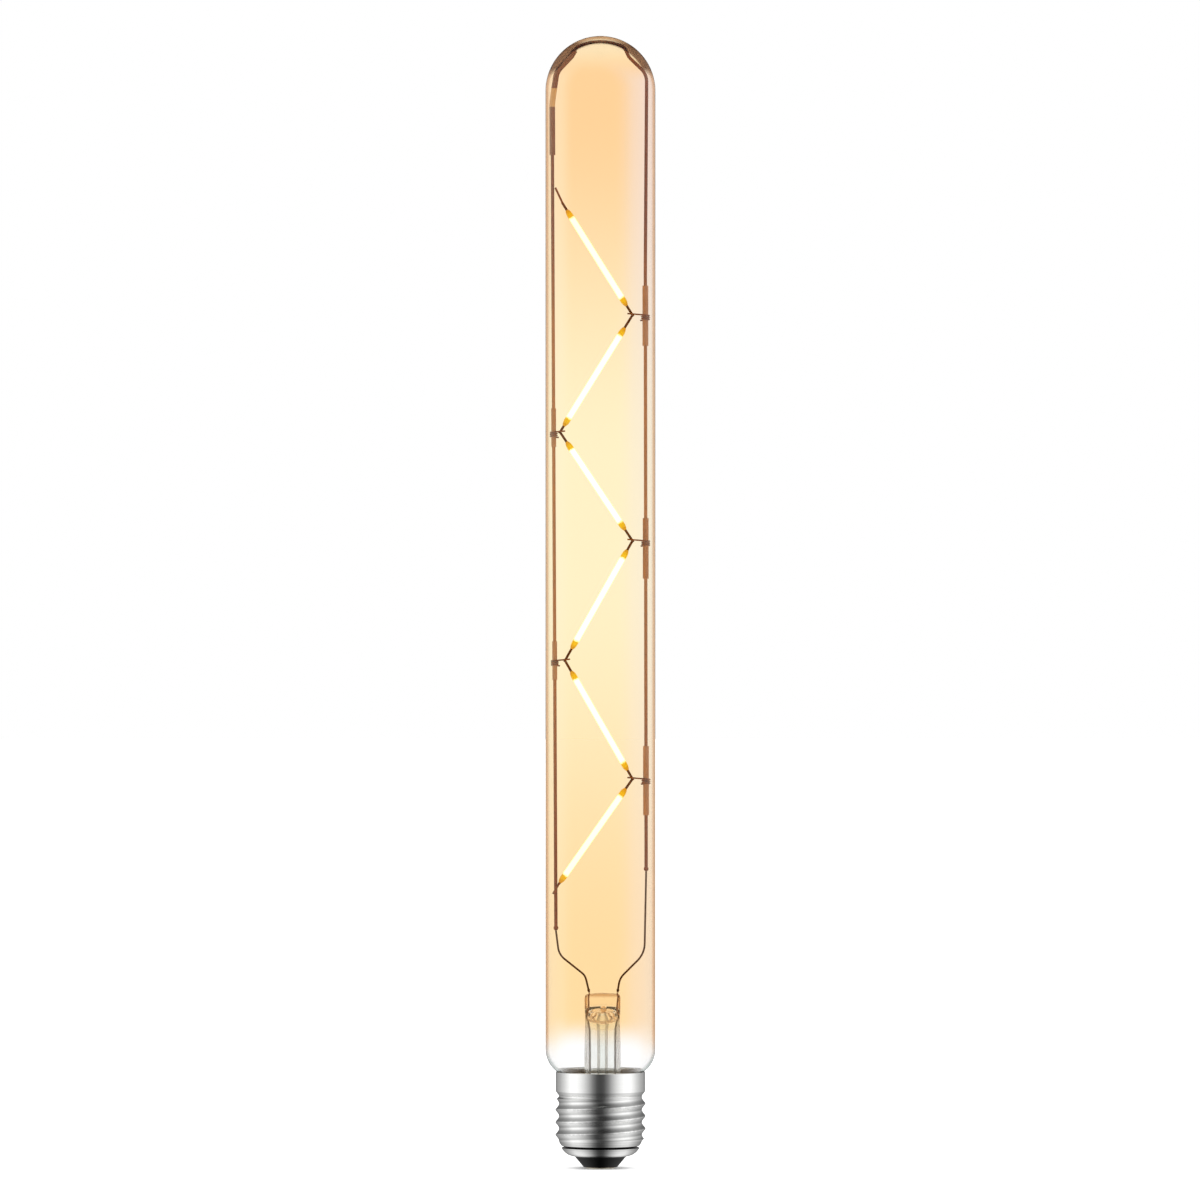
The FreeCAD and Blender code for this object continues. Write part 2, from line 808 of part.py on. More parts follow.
def rail_at(side, height):
    """The rail's axis at this height, and how far it leans."""
    start, end = (left_foot, left_top) if side < 0 else (right_foot, right_waist)
    return along(start, end, height), lean_of(end[0] - start[0], end[1] - start[1])


def side_of(number):
    """The rail that a joint lies at: left (-1) for even numbers, right (+1) for odd ones."""
    return 1 if number % 2 else -1


def joint(number):
    """The point where the axes of two filaments meet."""
    word = NUMBER_WORDS[number]
    height = left_foot[1] + (left_top[1] - left_foot[1]) * size("joint_share_" + word)
    spot, _ = rail_at(side_of(number), height)
    return spot[0] - size("joint_inset_" + word) * side_of(number), height


joints = [joint(number) for number in range(len(JOINTS))]


def sleeve(number):
    """Short tube on a rail at one joint of the zigzag."""
    word = NUMBER_WORDS[number]
    side = side_of(number)
    name = "right_sleeve" if side > 0 else "left_sleeve"
    half = size("sleeve_length_" + word) / 2
    inner, outer = rail_radius + size("sleeve_clearance"), size(name + "_radius")
    body = turned("sleeve_" + word, [
        (inner, -half), (outer, -half), (outer, half), (inner, half)])
    spot, lean = rail_at(side, joints[number][1] + size("sleeve_rise_" + word))
    place(body, spot[0], spot[1], lean)
    return body


def tie_wire(number):
    """Thin wire wound round a sleeve, with one end that reaches past the joint."""
    side = side_of(number)
    name = "right_sleeve" if side > 0 else "left_sleeve"
    wire_radius = size("tie_wire_radius").number
    gap = size("tie_wire_gap").number
    coil_radius = size(name + "_radius").number + wire_radius + gap
    pitch, turns = size("tie_wire_pitch").number, size("tie_wire_turns").number
    spot, _ = rail_at(side, joints[number][1])
    reach = abs(spot[0].number - joints[number][0].number)
    depth = size("strip_thickness").number + wire_radius + gap
    # The wire is drawn with its coil round the Z axis and its free end towards -X
    reach += size("tie_wire_free_end").number
    distance = math.hypot(reach, depth)
    contact = math.atan2(-depth, -reach) + math.acos(coil_radius / distance)
    height = pitch * turns
    coil = Part.makeHelix(pitch, height, coil_radius, 0, True)
    coil.rotate(Vector(), Vector(0, 0, 1), math.degrees(contact) + 360 * turns)
    coil.translate(Vector(0, 0, -height))
    edge = coil.Edges[0]
    lower, upper = edge.FirstParameter, edge.LastParameter
    if edge.valueAt(lower).z > edge.valueAt(upper).z:
        lower, upper = upper, lower
    foot, top = edge.valueAt(lower), edge.valueAt(upper)
    into = edge.tangentAt(lower)
    out = edge.tangentAt(upper)
    if into.z < 0:
        into = into * -1
    if out.z < 0:
        out = out * -1
    tail = foot - into * size("tie_wire_tail").number
    tip = top + out * math.sqrt(distance ** 2 - coil_radius ** 2)
    path = Part.Wire([Part.makeLine(tail, foot), edge, Part.makeLine(top, tip)])
    section = Part.Wire(Part.makeCircle(wire_radius, tail, into))
    solid = Part.Wire(path).makePipeShell([section], True, False)
    if side < 0:
        solid = solid.mirror(Vector(), Vector(1, 0, 0))
    feature = doc.addObject("Part::Feature", "tie_wire_" + NUMBER_WORDS[number])
    feature.Shape = solid
    feature.Placement = Placement(Vector(spot[0].number, 0, spot[1].number), Rotation())
    return feature


# Filaments

strip_width = size("strip_width")
strip_thickness = size("strip_thickness")
terminal_seat = size("terminal_seat")


def filament_frame(number):
    """Upper joint, lower joint, and the sizes along one filament's own axis."""
    upper, lower = joints[number - 1], joints[number]
    across, up = upper[0] - lower[0], upper[1] - lower[1]
    span = length_of(across, up)
    below = size("bare_below_" + NUMBER_WORDS[number])
    above = size("bare_above_" + NUMBER_WORDS[number])
    half = (span - below - above) / 2
    share = (below + half) / span
    centre = (lower[0] + across * share, lower[1] + up * share)
    return {
        "centre": centre,
        "lean": lean_of(across, up),
        "half": half,
        "below": below,
        "above": above,
        "depth": strip_thickness / 2 * -side_of(number),
    }


def seat_on_filament(body, frame):
    """Put a body on a filament's own axis."""
    place(body, frame["centre"][0], frame["centre"][1], frame["lean"], frame["depth"])


def filament_coat(name, frame):
    """Round coat with drawn-in ends, slotted for the strip and its terminals."""
    half = frame["half"]
    end, full = size("coat_end_radius"), size("coat_radius")
    cone, flank = size("coat_cone_length"), size("coat_flank_radius")
    body = turned(name + "_coat", [
        (0, -half), (end, -half), Bow((full, -half + cone), flank, -1),
        (full, half - cone), Bow((end, half), flank, -1), (0, half)])
    slot = sketch_on(body, "Slot", "XY_Plane")
    rectangle(slot, strip_width / 2, strip_thickness / 2)
    cut = body.newObject("PartDesign::Pocket", "SlotCut")
    cut.Profile = slot
    cut.Midplane = True
    cut.setExpression("Length", (half * 2 + size("slot_overrun") * 2).formula)
    seat_on_filament(body, frame)
    return body


def filament_bar(label, frame, foot, top):
    """Flat bar of the strip's section between two heights on a filament's axis."""
    body = body_for(label)
    section = sketch_on(body, "Section", "XY_Plane", foot)
    rectangle(section, strip_width / 2, strip_thickness / 2)
    pad(body, section, top - foot)
    seat_on_filament(body, frame)
    return body


def filament(number):
    """Coat, strip and two terminals of one filament."""
    name = "filament_" + NUMBER_WORDS[number]
    frame = filament_frame(number)
    half, lap = frame["half"], size("terminal_lap")
    inner = half - terminal_seat
    lower_reach = half + frame["below"] + lap
    upper_reach = half + frame["above"] + lap
    if number == 1:
        upper_reach = half + size("link_terminal_length")
    if number == len(FILAMENTS):
        lower_reach = half + size("foot_terminal_length")
    keep(filament_coat(name, frame))
    keep(filament_bar(name + "_strip", frame, -inner, inner))
    keep(filament_bar(name + "_lower_terminal", frame, -lower_reach, -inner))
    keep(filament_bar(name + "_upper_terminal", frame, inner, upper_reach))
    return frame


def link_wire(label, start, end):
    """Straight thin wire between two points in space."""
    radius = size("link_wire_radius").number
    line = end - start
    feature = doc.addObject("Part::Feature", label)
    feature.Shape = Part.makeCylinder(radius, line.Length, start, line)
    return feature


def link_wires(top_frame, foot_frame):
    """The two wires that join the ends of the zigzag to the left rail."""
    gap = size("tie_wire_gap").number
    clearance = size("link_clearance").number
    radius = size("link_wire_radius").number
    thickness = strip_thickness.number
    rail = rail_radius.number

    def on_axis(frame, height, depth):
        lean = math.radians(frame["lean"].number)
        return Vector(frame["centre"][0].number + height * math.sin(lean), depth,
                      frame["centre"][1].number + height * math.cos(lean))

    lap = size("link_lap").number
    reach = top_frame["half"].number + size("link_terminal_length").number
    start = on_axis(top_frame, reach - lap, -thickness - radius - clearance)
    spot, _ = rail_at(-1, joints[0][1])
    end = Vector(spot[0].number + rail + radius + gap, 0, joints[0][1].number)
    link_top = link_wire("top_link_wire", start, end)

    reach = foot_frame["half"].number + size("foot_terminal_length").number
    start = on_axis(foot_frame, lap - reach, -radius - gap)
    spot, _ = rail_at(-1, joints[6][1])
    beside = Vector(spot[0].number, -rail - radius - clearance, joints[6][1].number)
    onward = (beside - start).normalize() * size("link_overhang").number
    link_foot = link_wire("bottom_link_wire", start, beside + onward)
    return link_top, link_foot


# Lead-in wires

lead_radius = size("lead_radius")
bead_radius = size("bead_radius")
board_top = size("insulator_ledge") + size("board_thickness")


def inner_lead(side, rail_foot):
    """Bent wire from a rail's bead down to its seal wire at the pinch."""
    body = body_for(side + "_inner_lead")
    start = (rail_foot[0], rail_foot[1] - knob_radius)
    inward = 1 if side == "left" else -1
    bend = (rail_foot[0] + size(side + "_bend_inset") * inward,
            pinch_top + size(side + "_bend_rise"))
    turn = (stem_offset + size(side + "_turn_offset"), pinch_top + size(side + "_turn_rise"))
    end = (seal_ends[side][1][0], pinch_top + size("weld_gap"))
    section = sketch_on(body, "Section", "XY_Plane", start[1])
    circle(section, (start[0], 0), lead_radius)
    path = sketch_on(body, "Path")
    route(path, [start, bend, turn, end],
          [size(side + "_bend_radius"), size(side + "_turn_radius")])
    pipe(body, "PartDesign::AdditivePipe", section, path)
    weld = along(end, turn, pinch_top + bead_radius * 2)
    knob(body, (weld[0], weld[1], bead_radius))
    return body


def outer_lead(side):
    """Straight wire from the foot of the seal wire down to the board."""
    body = rod(side + "_outer_lead", lead_radius, pinch_foot - size("weld_gap") - board_top)
    place(body, seal_ends[side][0][0], board_top)
    return body


# Screw cap

thread_pitch = size("thread_pitch")
thread_foot = size("thread_foot")
thread_top = collar_foot - size("collar_step")
heel_radius = thread_root - size("heel_inset")
groove_height = size("groove_height")
groove_depth = size("groove_depth")
half_groove = size("groove_width") / 2
shell_foot = size("shell_foot")
shell_mouth = heel_radius - size("shell_foot_width")
heel_round = size("heel_round")
insulator_outer = heel_radius - groove_depth - sheet_wall
insulator_cup = insulator_outer - size("insulator_rim_wall")
board_radius = insulator_cup - size("board_clearance")
insulator_foot = size("insulator_foot")
insulator_foot_radius = shell_mouth - size("insulator_taper")
contact_radius = insulator_foot_radius - size("contact_inset")


def thread_section(sketch, inset, height):
    """Section of the thread on the outer face, or on the inner face at the sheet's wall."""
    crest = thread_crest - inset
    crest_round = size("crest_round") - inset
    root_round = size("root_round") + inset
    half_pitch = thread_pitch / 2
    rounds = crest_round + root_round
    flank = root(rounds * rounds - half_pitch * half_pitch)
    land = size("root_land") / 2
    half_width = half_pitch - land
    crest_centre = crest - crest_round
    meet_across = crest_centre + crest_round * flank / rounds
    meet_up = crest_round * half_pitch / rounds
    foot_rise = root_round - root(root_round * root_round - land * land)
    root_centre = crest_centre + flank
    base = root_centre - root_round + foot_rise
    sunk = thread_root - inset - sheet_wall / 2
    outline(sketch, [
        (sunk, height - half_width),
        (base, height - half_width),
        Bow((meet_across, height - meet_up), root_round, -1),
        Bow((meet_across, height + meet_up), crest_round, 1),
        Bow((base, height + half_width), root_round, -1),
        (sunk, height + half_width),
    ])


def shell_steps(wall):
    """Outer or inner outline of the shell from its rim down to its mouth."""
    return [
        (collar_radius - wall, rim_height),
        (collar_radius - wall, collar_foot),
        (thread_root - wall, thread_top),
        (thread_root - wall, thread_foot),
        (heel_radius - wall, groove_height + half_groove),
        (heel_radius - groove_depth - wall, groove_height + half_groove / 2),
        (heel_radius - groove_depth - wall, groove_height - half_groove / 2),
        (heel_radius - wall, groove_height - half_groove),
    ]


def screw_shell():
    """Rolled sheet shell: collar, screw thread, a rolled groove and a rounded foot."""
    body = body_for("screw_shell")
    base = sketch_on(body, "Base")
    outer = shell_steps(ZERO)
    inner = shell_steps(sheet_wall)
    inner.reverse()
    outline(base, outer + [
        Bow((shell_mouth, shell_foot), heel_round, -1),
        (shell_mouth, shell_foot + sheet_wall),
        Bow(inner[0], heel_round - sheet_wall, 1),
    ] + inner[1:])
    revolve(body, base)

    start = thread_foot - thread_pitch / 2
    ridge = sketch_on(body, "Ridge")
    thread_section(ridge, ZERO, start)
    thread = body.newObject("PartDesign::AdditiveHelix", "Thread")
    thread.Profile = ridge
    thread.ReferenceAxis = (ridge, ["V_Axis"])
    thread.Mode = 0
    thread.setExpression("Pitch", thread_pitch.formula)
    thread.setExpression("Height", (thread_top - start).formula)

    runout = size("thread_depth")
    edge = thread_crest + size("runout_margin")
    beyond = thread_crest + runout * 2
    lower = sketch_on(body, "LowerRunout")
    outline(lower, [
        (heel_radius, groove_height + half_groove),
        (thread_root, thread_foot),
        (edge, thread_foot + runout),
        (beyond, thread_foot + runout),
        (beyond, start - thread_pitch),
        (heel_radius, start - thread_pitch),
    ])
    groove(body, lower)
    upper = sketch_on(body, "UpperRunout")
    outline(upper, [
        (thread_root, thread_top),
        (edge, thread_top - runout),
        (beyond, thread_top - runout),
        (beyond, rim_height),
        (collar_radius, rim_height),
        (collar_radius, collar_foot),
    ])
    groove(body, upper)

    hollow = sketch_on(body, "Hollow")
    thread_section(hollow, sheet_wall, start + thread_pitch)
    inside = body.newObject("PartDesign::SubtractiveHelix", "InnerThread")
    inside.Profile = hollow
    inside.ReferenceAxis = (hollow, ["V_Axis"])
    inside.Mode = 0
    inside.setExpression("Pitch", thread_pitch.formula)
    inside.setExpression("Height", (thread_top - start - thread_pitch * 2).formula)
    return body


def cap_insulator():
    """Moulded foot of the cap: a cone below the shell and a cup inside it."""
    seat = size("contact_seat")
    ledge = size("insulator_ledge")
    heel_inner = (heel_radius - sheet_wall, groove_height - half_groove)
    bore = insulator_cup - size("insulator_ledge_width")
    return turned("cap_insulator", [
        (size("contact_boss_radius"), seat),
        (contact_radius, seat),
        (contact_radius, insulator_foot),
        (insulator_foot_radius, insulator_foot),
        (shell_mouth - sheet_wall, shell_foot - sheet_wall),
        (shell_mouth, shell_foot),
        (shell_mouth, shell_foot + sheet_wall),
        Bow(heel_inner, heel_round - sheet_wall, 1),
        (insulator_outer, groove_height - half_groove / 2),
        (insulator_outer, size("insulator_rim")),
        (insulator_cup, size("insulator_rim")),
        (insulator_cup, ledge),
        (bore, ledge),
        (bore, size("insulator_floor")),
        (size("contact_boss_radius"), size("insulator_floor")),
    ])


def centre_contact():
    """Round plate with a turned-up edge and a boss that holds the live wire."""
    seat = size("contact_seat")
    boss = size("contact_boss_radius")
    return turned("centre_contact", [
        (0, 0),
        (contact_radius - size("contact_edge"), 0),
        Bow((contact_radius, insulator_foot), size("contact_edge_round"), 1),
        (contact_radius, seat),
        (boss, seat),
        (boss, size("contact_boss_height")),
        (0, size("contact_boss_height")),
    ])


def cement_ring():
    """Ring of cement between the neck and the collar."""
    foot, top = collar_foot + size("cement_step"), rim_height - size("cement_drop")
    rise = top - shoulder_foot
    neck_at_top = neck_radius + lower_arc - root(lower_arc * lower_arc - rise * rise)
    return turned("cement_ring", [
        (neck_radius, foot),
        (collar_bore, foot),
        (collar_bore, top),
        (neck_at_top, top),
        Bow((neck_radius, shoulder_foot), lower_arc, 1),
    ])


# Driver

def driver_board():
    """Round board that lies on the insulator's ledge."""
    body = rod("driver_board", board_radius, size("board_thickness"))
    place(body, 0, size("insulator_ledge"))
    return body


def block_part(label, half_width, half_depth, height, legs):
    """Moulded block on the board, with a row of flat legs on two sides."""
    name, count = legs
    body = body_for(label)
    base = sketch_on(body, "Base", "XY_Plane")
    rectangle(base, half_width, half_depth)
    pad(body, base, height)
    feet = sketch_on(body, "Feet", "XY_Plane")
    half_leg = size("leg_width") / 2
    reach = half_depth + size(name + "_leg")
    for number in range(count):
        middle = half_width * 2 / count * (number - (count - 1) / 2)
        corners = [(middle - half_leg, -reach), (middle + half_leg, -reach),
                   (middle + half_leg, reach), (middle - half_leg, reach)]
        outline(feet, corners)
    pad(body, feet, size("leg_thickness"))
    place(body, size(name + "_across"), board_top, None, size(name + "_depth"))
    return body


def bridge_rectifier():
    """Square block with two legs a side."""
    half = size("rectifier_side") / 2
    return block_part("bridge_rectifier", half, half, size("rectifier_height"),
                      ("rectifier", 2))


def driver_chip():
    """Small block with four legs a side."""
    return block_part("driver_chip", size("chip_length") / 2, size("chip_width") / 2,
                      size("chip_height"), ("chip", 4))


def smoothing_capacitor():
    """Upright can with a rolled neck near its foot."""
    radius, height = size("capacitor_radius"), size("capacitor_height")
    neck, cut, edge = size("capacitor_neck"), size("capacitor_neck_cut"), size("capacitor_edge")
    body = turned("smoothing_capacitor", [
        (0, 0), (radius, 0), (radius, neck - cut), (radius - cut, neck), (radius, neck + cut),
        (radius, height - edge), Bow((radius - edge, height), edge, 1), (0, height)])
    place(body, size("capacitor_across"), board_top, None, size("capacitor_depth"))
    return body


def fuse_resistor():
    """Barrel with swollen ends that lies along the board."""
    radius, half = size("resistor_radius"), size("resistor_length") / 2
    waist = radius - size("resistor_waist_cut")
    edge = size("resistor_edge")
    shoulder = half - size("resistor_end_length")
    body = turned("fuse_resistor", [
        (0, -half), (radius - edge, -half), Bow((radius, edge - half), edge, 1),
        (radius, -shoulder), (waist, edge - shoulder), (waist, shoulder - edge),
        (radius, shoulder), (radius, half - edge), Bow((radius - edge, half), edge, 1),
        (0, half)])
    place(body, size("resistor_across"), board_top + radius, as_size(90), size("resistor_depth"))
    return body


def live_wire():
    """Straight wire from the contact's boss up to the board."""
    foot = size("contact_boss_height")
    body = rod("live_wire", size("live_wire_radius"), size("insulator_ledge") - foot)
    place(body, 0, foot)
    return body


def neutral_wire():
    """Wire that rises from the board's edge and bends out to the shell."""
    radius = size("neutral_wire_radius")
    body = body_for("neutral_wire")
    start = (board_radius - radius * 2, board_top)
    rise = board_top + size("neutral_wire_rise")
    end = (thread_root - sheet_wall - size("neutral_wire_gap"), rise)
    section = sketch_on(body, "Section", "XY_Plane", start[1])
    circle(section, (start[0], 0), radius)
    path = sketch_on(body, "Path")
    route(path, [start, (start[0], rise), end], [size("neutral_wire_bend")])
    pipe(body, "PartDesign::AdditivePipe", section, path)
    return body


# Build

keep(glass_envelope())
keep(stem_glass())
keep(exhaust_tube())
keep(left_rail())
keep(right_rail())
keep(top_sleeve())
for side, rail_foot in (("left", left_foot), ("right", right_foot)):
    keep(inner_lead(side, rail_foot))
    keep(rod_between(side + "_seal_wire", seal_wire_radius, *seal_ends[side]))
    keep(outer_lead(side))
for number in range(1, 6):
    keep(sleeve(number))
    keep(tie_wire(number))
frames = [filament(number) for number in range(1, len(FILAMENTS) + 1)]
for link in link_wires(frames[0], frames[-1]):
    keep(link)
keep(screw_shell())
keep(cap_insulator())
keep(centre_contact())
keep(cement_ring())
keep(driver_board())
keep(bridge_rectifier())
keep(driver_chip())
keep(smoothing_capacitor())
keep(fuse_resistor())
keep(live_wire())
keep(neutral_wire())

doc.recompute()

for item in doc.Objects:
    if "Invalid" in item.State or "Error" in item.State:
        raise RuntimeError(f"{item.Name} ({item.Label}) did not build: {item.State}")
for item in sub_parts:
    if item.Shape.isNull() or not item.Shape.isValid():
        raise RuntimeError(f"{item.Label} has no valid shape")

os.makedirs("parts", exist_ok=True)
for item in sub_parts:
    item.Shape.exportStep(f"parts/{item.Label}.step")
    box = item.Shape.BoundBox
    print(f"{item.Label}: {len(item.Shape.Solids)} solid, {item.Shape.Volume:.3f} mm3, "
          f"z {box.ZMin:.2f} to {box.ZMax:.2f}")
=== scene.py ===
"""Looks of a tubular filament lamp: amber glass tube, glass stem, wire frame with lit filaments,
driver and screw cap, on a plain white stage.

Lengths are in metres, in the frame of the solids: +Z runs up the lamp's axis to the dome, and
the filaments zigzag in the XZ plane, facing -Y.
"""

import math

import bmesh
import bpy
import numpy
from bpy.props import FloatProperty, FloatVectorProperty, IntProperty, PointerProperty
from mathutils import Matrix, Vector


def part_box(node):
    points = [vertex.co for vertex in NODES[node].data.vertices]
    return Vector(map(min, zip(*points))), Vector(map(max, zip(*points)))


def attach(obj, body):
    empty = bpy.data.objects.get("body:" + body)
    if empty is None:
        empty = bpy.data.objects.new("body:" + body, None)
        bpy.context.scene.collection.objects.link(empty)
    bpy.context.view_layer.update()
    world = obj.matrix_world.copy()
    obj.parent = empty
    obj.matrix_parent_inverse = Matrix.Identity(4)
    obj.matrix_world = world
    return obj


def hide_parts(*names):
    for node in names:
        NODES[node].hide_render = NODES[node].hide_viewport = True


bl_info = {
    "name": "Tubular Filament Lamp",
    "version": (1, 0, 0),
    "blender": (4, 5, 0),
    "location": "View3D > Sidebar > Lamp",
    "description": "Glass, filaments, cap and stage of a tubular filament lamp",
    "category": "Object",
}

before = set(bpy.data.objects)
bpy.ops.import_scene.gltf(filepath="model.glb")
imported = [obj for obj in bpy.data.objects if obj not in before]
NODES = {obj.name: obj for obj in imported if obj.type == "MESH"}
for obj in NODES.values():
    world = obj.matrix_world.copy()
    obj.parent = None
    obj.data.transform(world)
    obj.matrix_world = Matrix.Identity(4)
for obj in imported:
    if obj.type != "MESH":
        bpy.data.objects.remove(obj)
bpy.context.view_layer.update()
MM = 0.001
NUMBER_WORDS = ("one", "two", "three", "four", "five", "six")
SIDES = ("left", "right")
BLACK, WHITE = (0.0, 0.0, 0.0), (1.0, 1.0, 1.0)


def reach(node):
    """Radius about the axis that a node keeps within, from its box."""
    low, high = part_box(node)
    return min(-low[0], high[0], -low[1], high[1])


def heights(node):
    """Lowest and highest point of a node."""
    low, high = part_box(node)
    return low[2], high[2]


TUBE_RADIUS = reach("glass_envelope")
TUBE_FOOT, TUBE_TOP = heights("glass_envelope")
DOME_FOOT = TUBE_TOP - TUBE_RADIUS
STEM_FOOT, STEM_TOP = heights("stem_glass")
SHELL_FOOT, SHELL_RIM = heights("screw_shell")
THREAD_CREST = reach("screw_shell")


# Settings

def size(name, description, default):
    """A length that the user can change."""
    return FloatProperty(name=name, description=description, default=default, unit="LENGTH")


def hue(name, description, default):
    """A colour that the user can change."""
    return FloatVectorProperty(name=name, description=description, default=default,
                               subtype="COLOR", min=0.0, max=1.0)


class LampGlassSettings(bpy.types.PropertyGroup):
    """Sizes and colours of the glass tube and its stem"""

    wall: size("Wall", "Thickness of the tube's glass", 0.6 * MM)
    neck_radius: size("Neck radius", "Outer radius of the neck inside the cap", 11.0 * MM)
    shoulder_foot: size("Shoulder foot", "Height at which the neck starts to widen", 25.0 * MM)
    shoulder_top: size("Shoulder top", "Height at which the shoulder meets the straight tube",
                       34.6 * MM)
    shoulder_share: FloatProperty(
        name="Shoulder share", description="Share of the shoulder that the upper arc takes",
        default=0.69, min=0.1, max=0.9)
    steps_round: IntProperty(
        name="Steps round", description="Faces round the tube", default=160, min=24)
    dome_amber: hue("Dome amber", "Colour seen through both walls near the dome",
                    (0.99, 0.64, 0.32))
    # Paler than the foot and dome amber: the filaments' glow is painted into it.
    middle_amber: hue("Middle amber", "Colour seen through both walls halfway up",
                      (1.0, 0.87, 0.56))
    foot_amber: hue("Foot amber", "Colour seen through both walls above the stem",
                    (1.0, 0.71, 0.36))
    # Painted sheens: paler colours painted in bands on the left and right of the tube, standing
    # in for the glass's reflections.
    warm_painted_sheen: hue("Warm sheen", "Paler colour of the coat towards the left of the tube",
                    (1.0, 0.88, 0.66))
    rosy_painted_sheen: hue("Rosy sheen", "Paler colour of the coat towards the right of the tube",
                    (0.84, 0.76, 0.79))
    # Edge on, the coat takes the rim tint: partly its longer path through the coat, partly
    # painted edge shade.
    rim_tint: hue("Rim tint", "Colour of the coat where it is seen edge on",
                  (0.66, 0.29, 0.115))
    # Painted shade: dark wedges painted near the tube's edge round the dome's shoulder.
    shoulder_painted_shade: hue("Shoulder brown", "Colour of the thick coat round the dome's shoulder",
                        (0.06, 0.018, 0.006))
    mirror: hue("Mirror", "What the tube's faces mirror head on, as a share of plain glass",
                (0.16, 0.09, 0.03))
    coat_foot: size("Coat foot", "Height below which the glass is clear", 34.5 * MM)
    coat_full: size("Coat full", "Height above which the amber coat is full", 43.5 * MM)
    stem_tint: hue("Stem tint", "Colour of the stem's glass", (0.95, 0.96, 0.95))
    # Painted light: the pinch's warm tint paints in the amber coat's light from above.
    pinch_tint: hue("Pinch tint", "Colour of the pinch, which the coat above it warms",
                    (1.0, 0.93, 0.84))
    pinch_top: size("Pinch top", "Height of the top of the pinch", STEM_TOP)
    pinch_half_width: size("Pinch half width", "From the pinch's middle to its side", 5.2 * MM)
    pinch_half_depth: size("Pinch half depth", "From the pinch's middle to its front", 2.1 * MM)
    stem_offset: size("Stem offset", "How far the stem stands to the right of the axis",
                      0.6 * MM)
    vent_height: size("Vent height", "Height of the vent blown in the pinch", 46.3 * MM)


class LampWireSettings(bpy.types.PropertyGroup):
    """Colours of the rails, wires and sleeves"""

    rail: hue("Rail", "Colour of the plated rails", (0.50, 0.185, 0.042))
    brown: hue("Brown", "Colour of the rails where heat has browned them", (0.21, 0.048, 0.007))
    brown_top: size("Brown top", "Height above which the rails are fully browned", 280.0 * MM)
    brown_foot: size("Brown foot", "Height below which the rails are fully browned", 75.0 * MM)
    wire: hue("Wire", "Colour of the drawn lead wires", (0.08, 0.027, 0.003))
    tie: hue("Tie wire", "Colour of the fine tie and link wires", (0.30, 0.08, 0.008))
    copper: hue("Seal wire", "Colour of the copper-clad wire in the pinch", (0.34, 0.14, 0.05))
    sleeve: hue("Sleeve", "Colour of the glass sleeves over the rails", (0.56, 0.215, 0.05))
    filled_sleeve: hue("Filled sleeve", "Colour of the top sleeve where a wire fills it",
                       (0.24, 0.056, 0.007))
    bare_sleeve: hue("Bare sleeve", "Colour of the top sleeve between the two wire ends",
                     (0.86, 0.54, 0.24))
    bare_foot: size("Bare foot", "Height at which the left rail ends in the top sleeve",
                    308.4 * MM)
    bare_top: size("Bare top", "Height at which the arch ends in the top sleeve", 313.8 * MM)


class LampFilamentSettings(bpy.types.PropertyGroup):
    """Shape, colours and light of the filaments"""

    coat_radius: size("Coat radius", "Radius of a filament's coat", 0.91 * MM)
    end_radius: size("End radius", "Radius of the coat at its ends", 0.42 * MM)
    nose_length: size("Nose length", "Length over which an end of the coat is drawn in",
                      1.9 * MM)
    end_length: size("End length", "Length of the coat's unlit ends", 2.8 * MM)
    light: hue("Light", "Light of the coat over the chips", (1.0, 0.96, 0.62))
    flank: hue("Flank", "Light of the coat beside the chips", (0.41, 0.38, 0.17))
    end_light: hue("End light", "Light that the coat's ends pass on", (0.13, 0.078, 0.0))
    end: hue("End", "Colour of the coat's unlit ends", (0.92, 0.58, 0.0))
    tip: hue("Tip", "Colour of the coat where the terminal leaves it", (0.66, 0.27, 0.01))
    strength: FloatProperty(
        name="Strength", description="Strength of the light", default=1.95, min=0.0)


class LampCapSettings(bpy.types.PropertyGroup):
    """Sizes and colours of the screw cap"""

    sheet: size("Sheet", "Thickness of the rolled shell", 0.3 * MM)
    collar_radius: size("Collar radius", "Radius of the plain collar", 13.0 * MM)
    collar_foot: size("Collar foot", "Height of the collar's lower edge", 22.3 * MM)
    root_radius: size("Root radius", "Radius at the thread's root", 12.05 * MM)
    pitch: size("Pitch", "Rise of the thread in one turn", 3.629 * MM)
    thread_foot: size("Thread foot", "Height at which the thread starts", 7.9 * MM)
    thread_top: size("Thread top", "Height at which the thread ends", 20.8 * MM)
    heel_radius: size("Heel radius", "Radius of the heel below the thread", 11.35 * MM)
    mouth_radius: size("Mouth radius", "Radius of the shell's lower opening", 7.6 * MM)
    metal: hue("Metal", "Colour of the shell's metal", (0.80, 0.80, 0.79))
    insulator: hue("Insulator", "Colour of the moulded insulator", (0.0015, 0.0015, 0.0015))
    groove_height: size("Groove height", "Height of the rolled groove below the thread",
                        6.25 * MM)
    groove_depth: size("Groove depth", "Depth of the rolled groove", 0.7 * MM)


class LampStageSettings(bpy.types.PropertyGroup):
    """Floor, studio and camera"""

    floor_radius: size("Floor radius", "Radius of the round floor", 8.0)
    floor_grey: FloatProperty(
        name="Floor grey", description="How much light the floor gives back",
        default=0.88, min=0.0, max=1.0)
    backdrop: FloatProperty(
        name="Backdrop", description="White behind the lamp, as it shows through glass",
        default=1.03, min=0.0)
    box_strength: FloatProperty(
        name="Box strength", description="Strength of the soft boxes that the metal mirrors",
        default=1.33, min=0.0)
    camera_distance: size("Camera distance", "From the lamp's axis to the camera", 2.6)
    camera_height: size("Camera height", "Height of the level camera", 165.1 * MM)
    camera_offset: size("Camera offset", "How far the camera stands to the right", -0.13 * MM)
    view_height: size("View height", "Height of the picture at the lamp", 348.77 * MM)


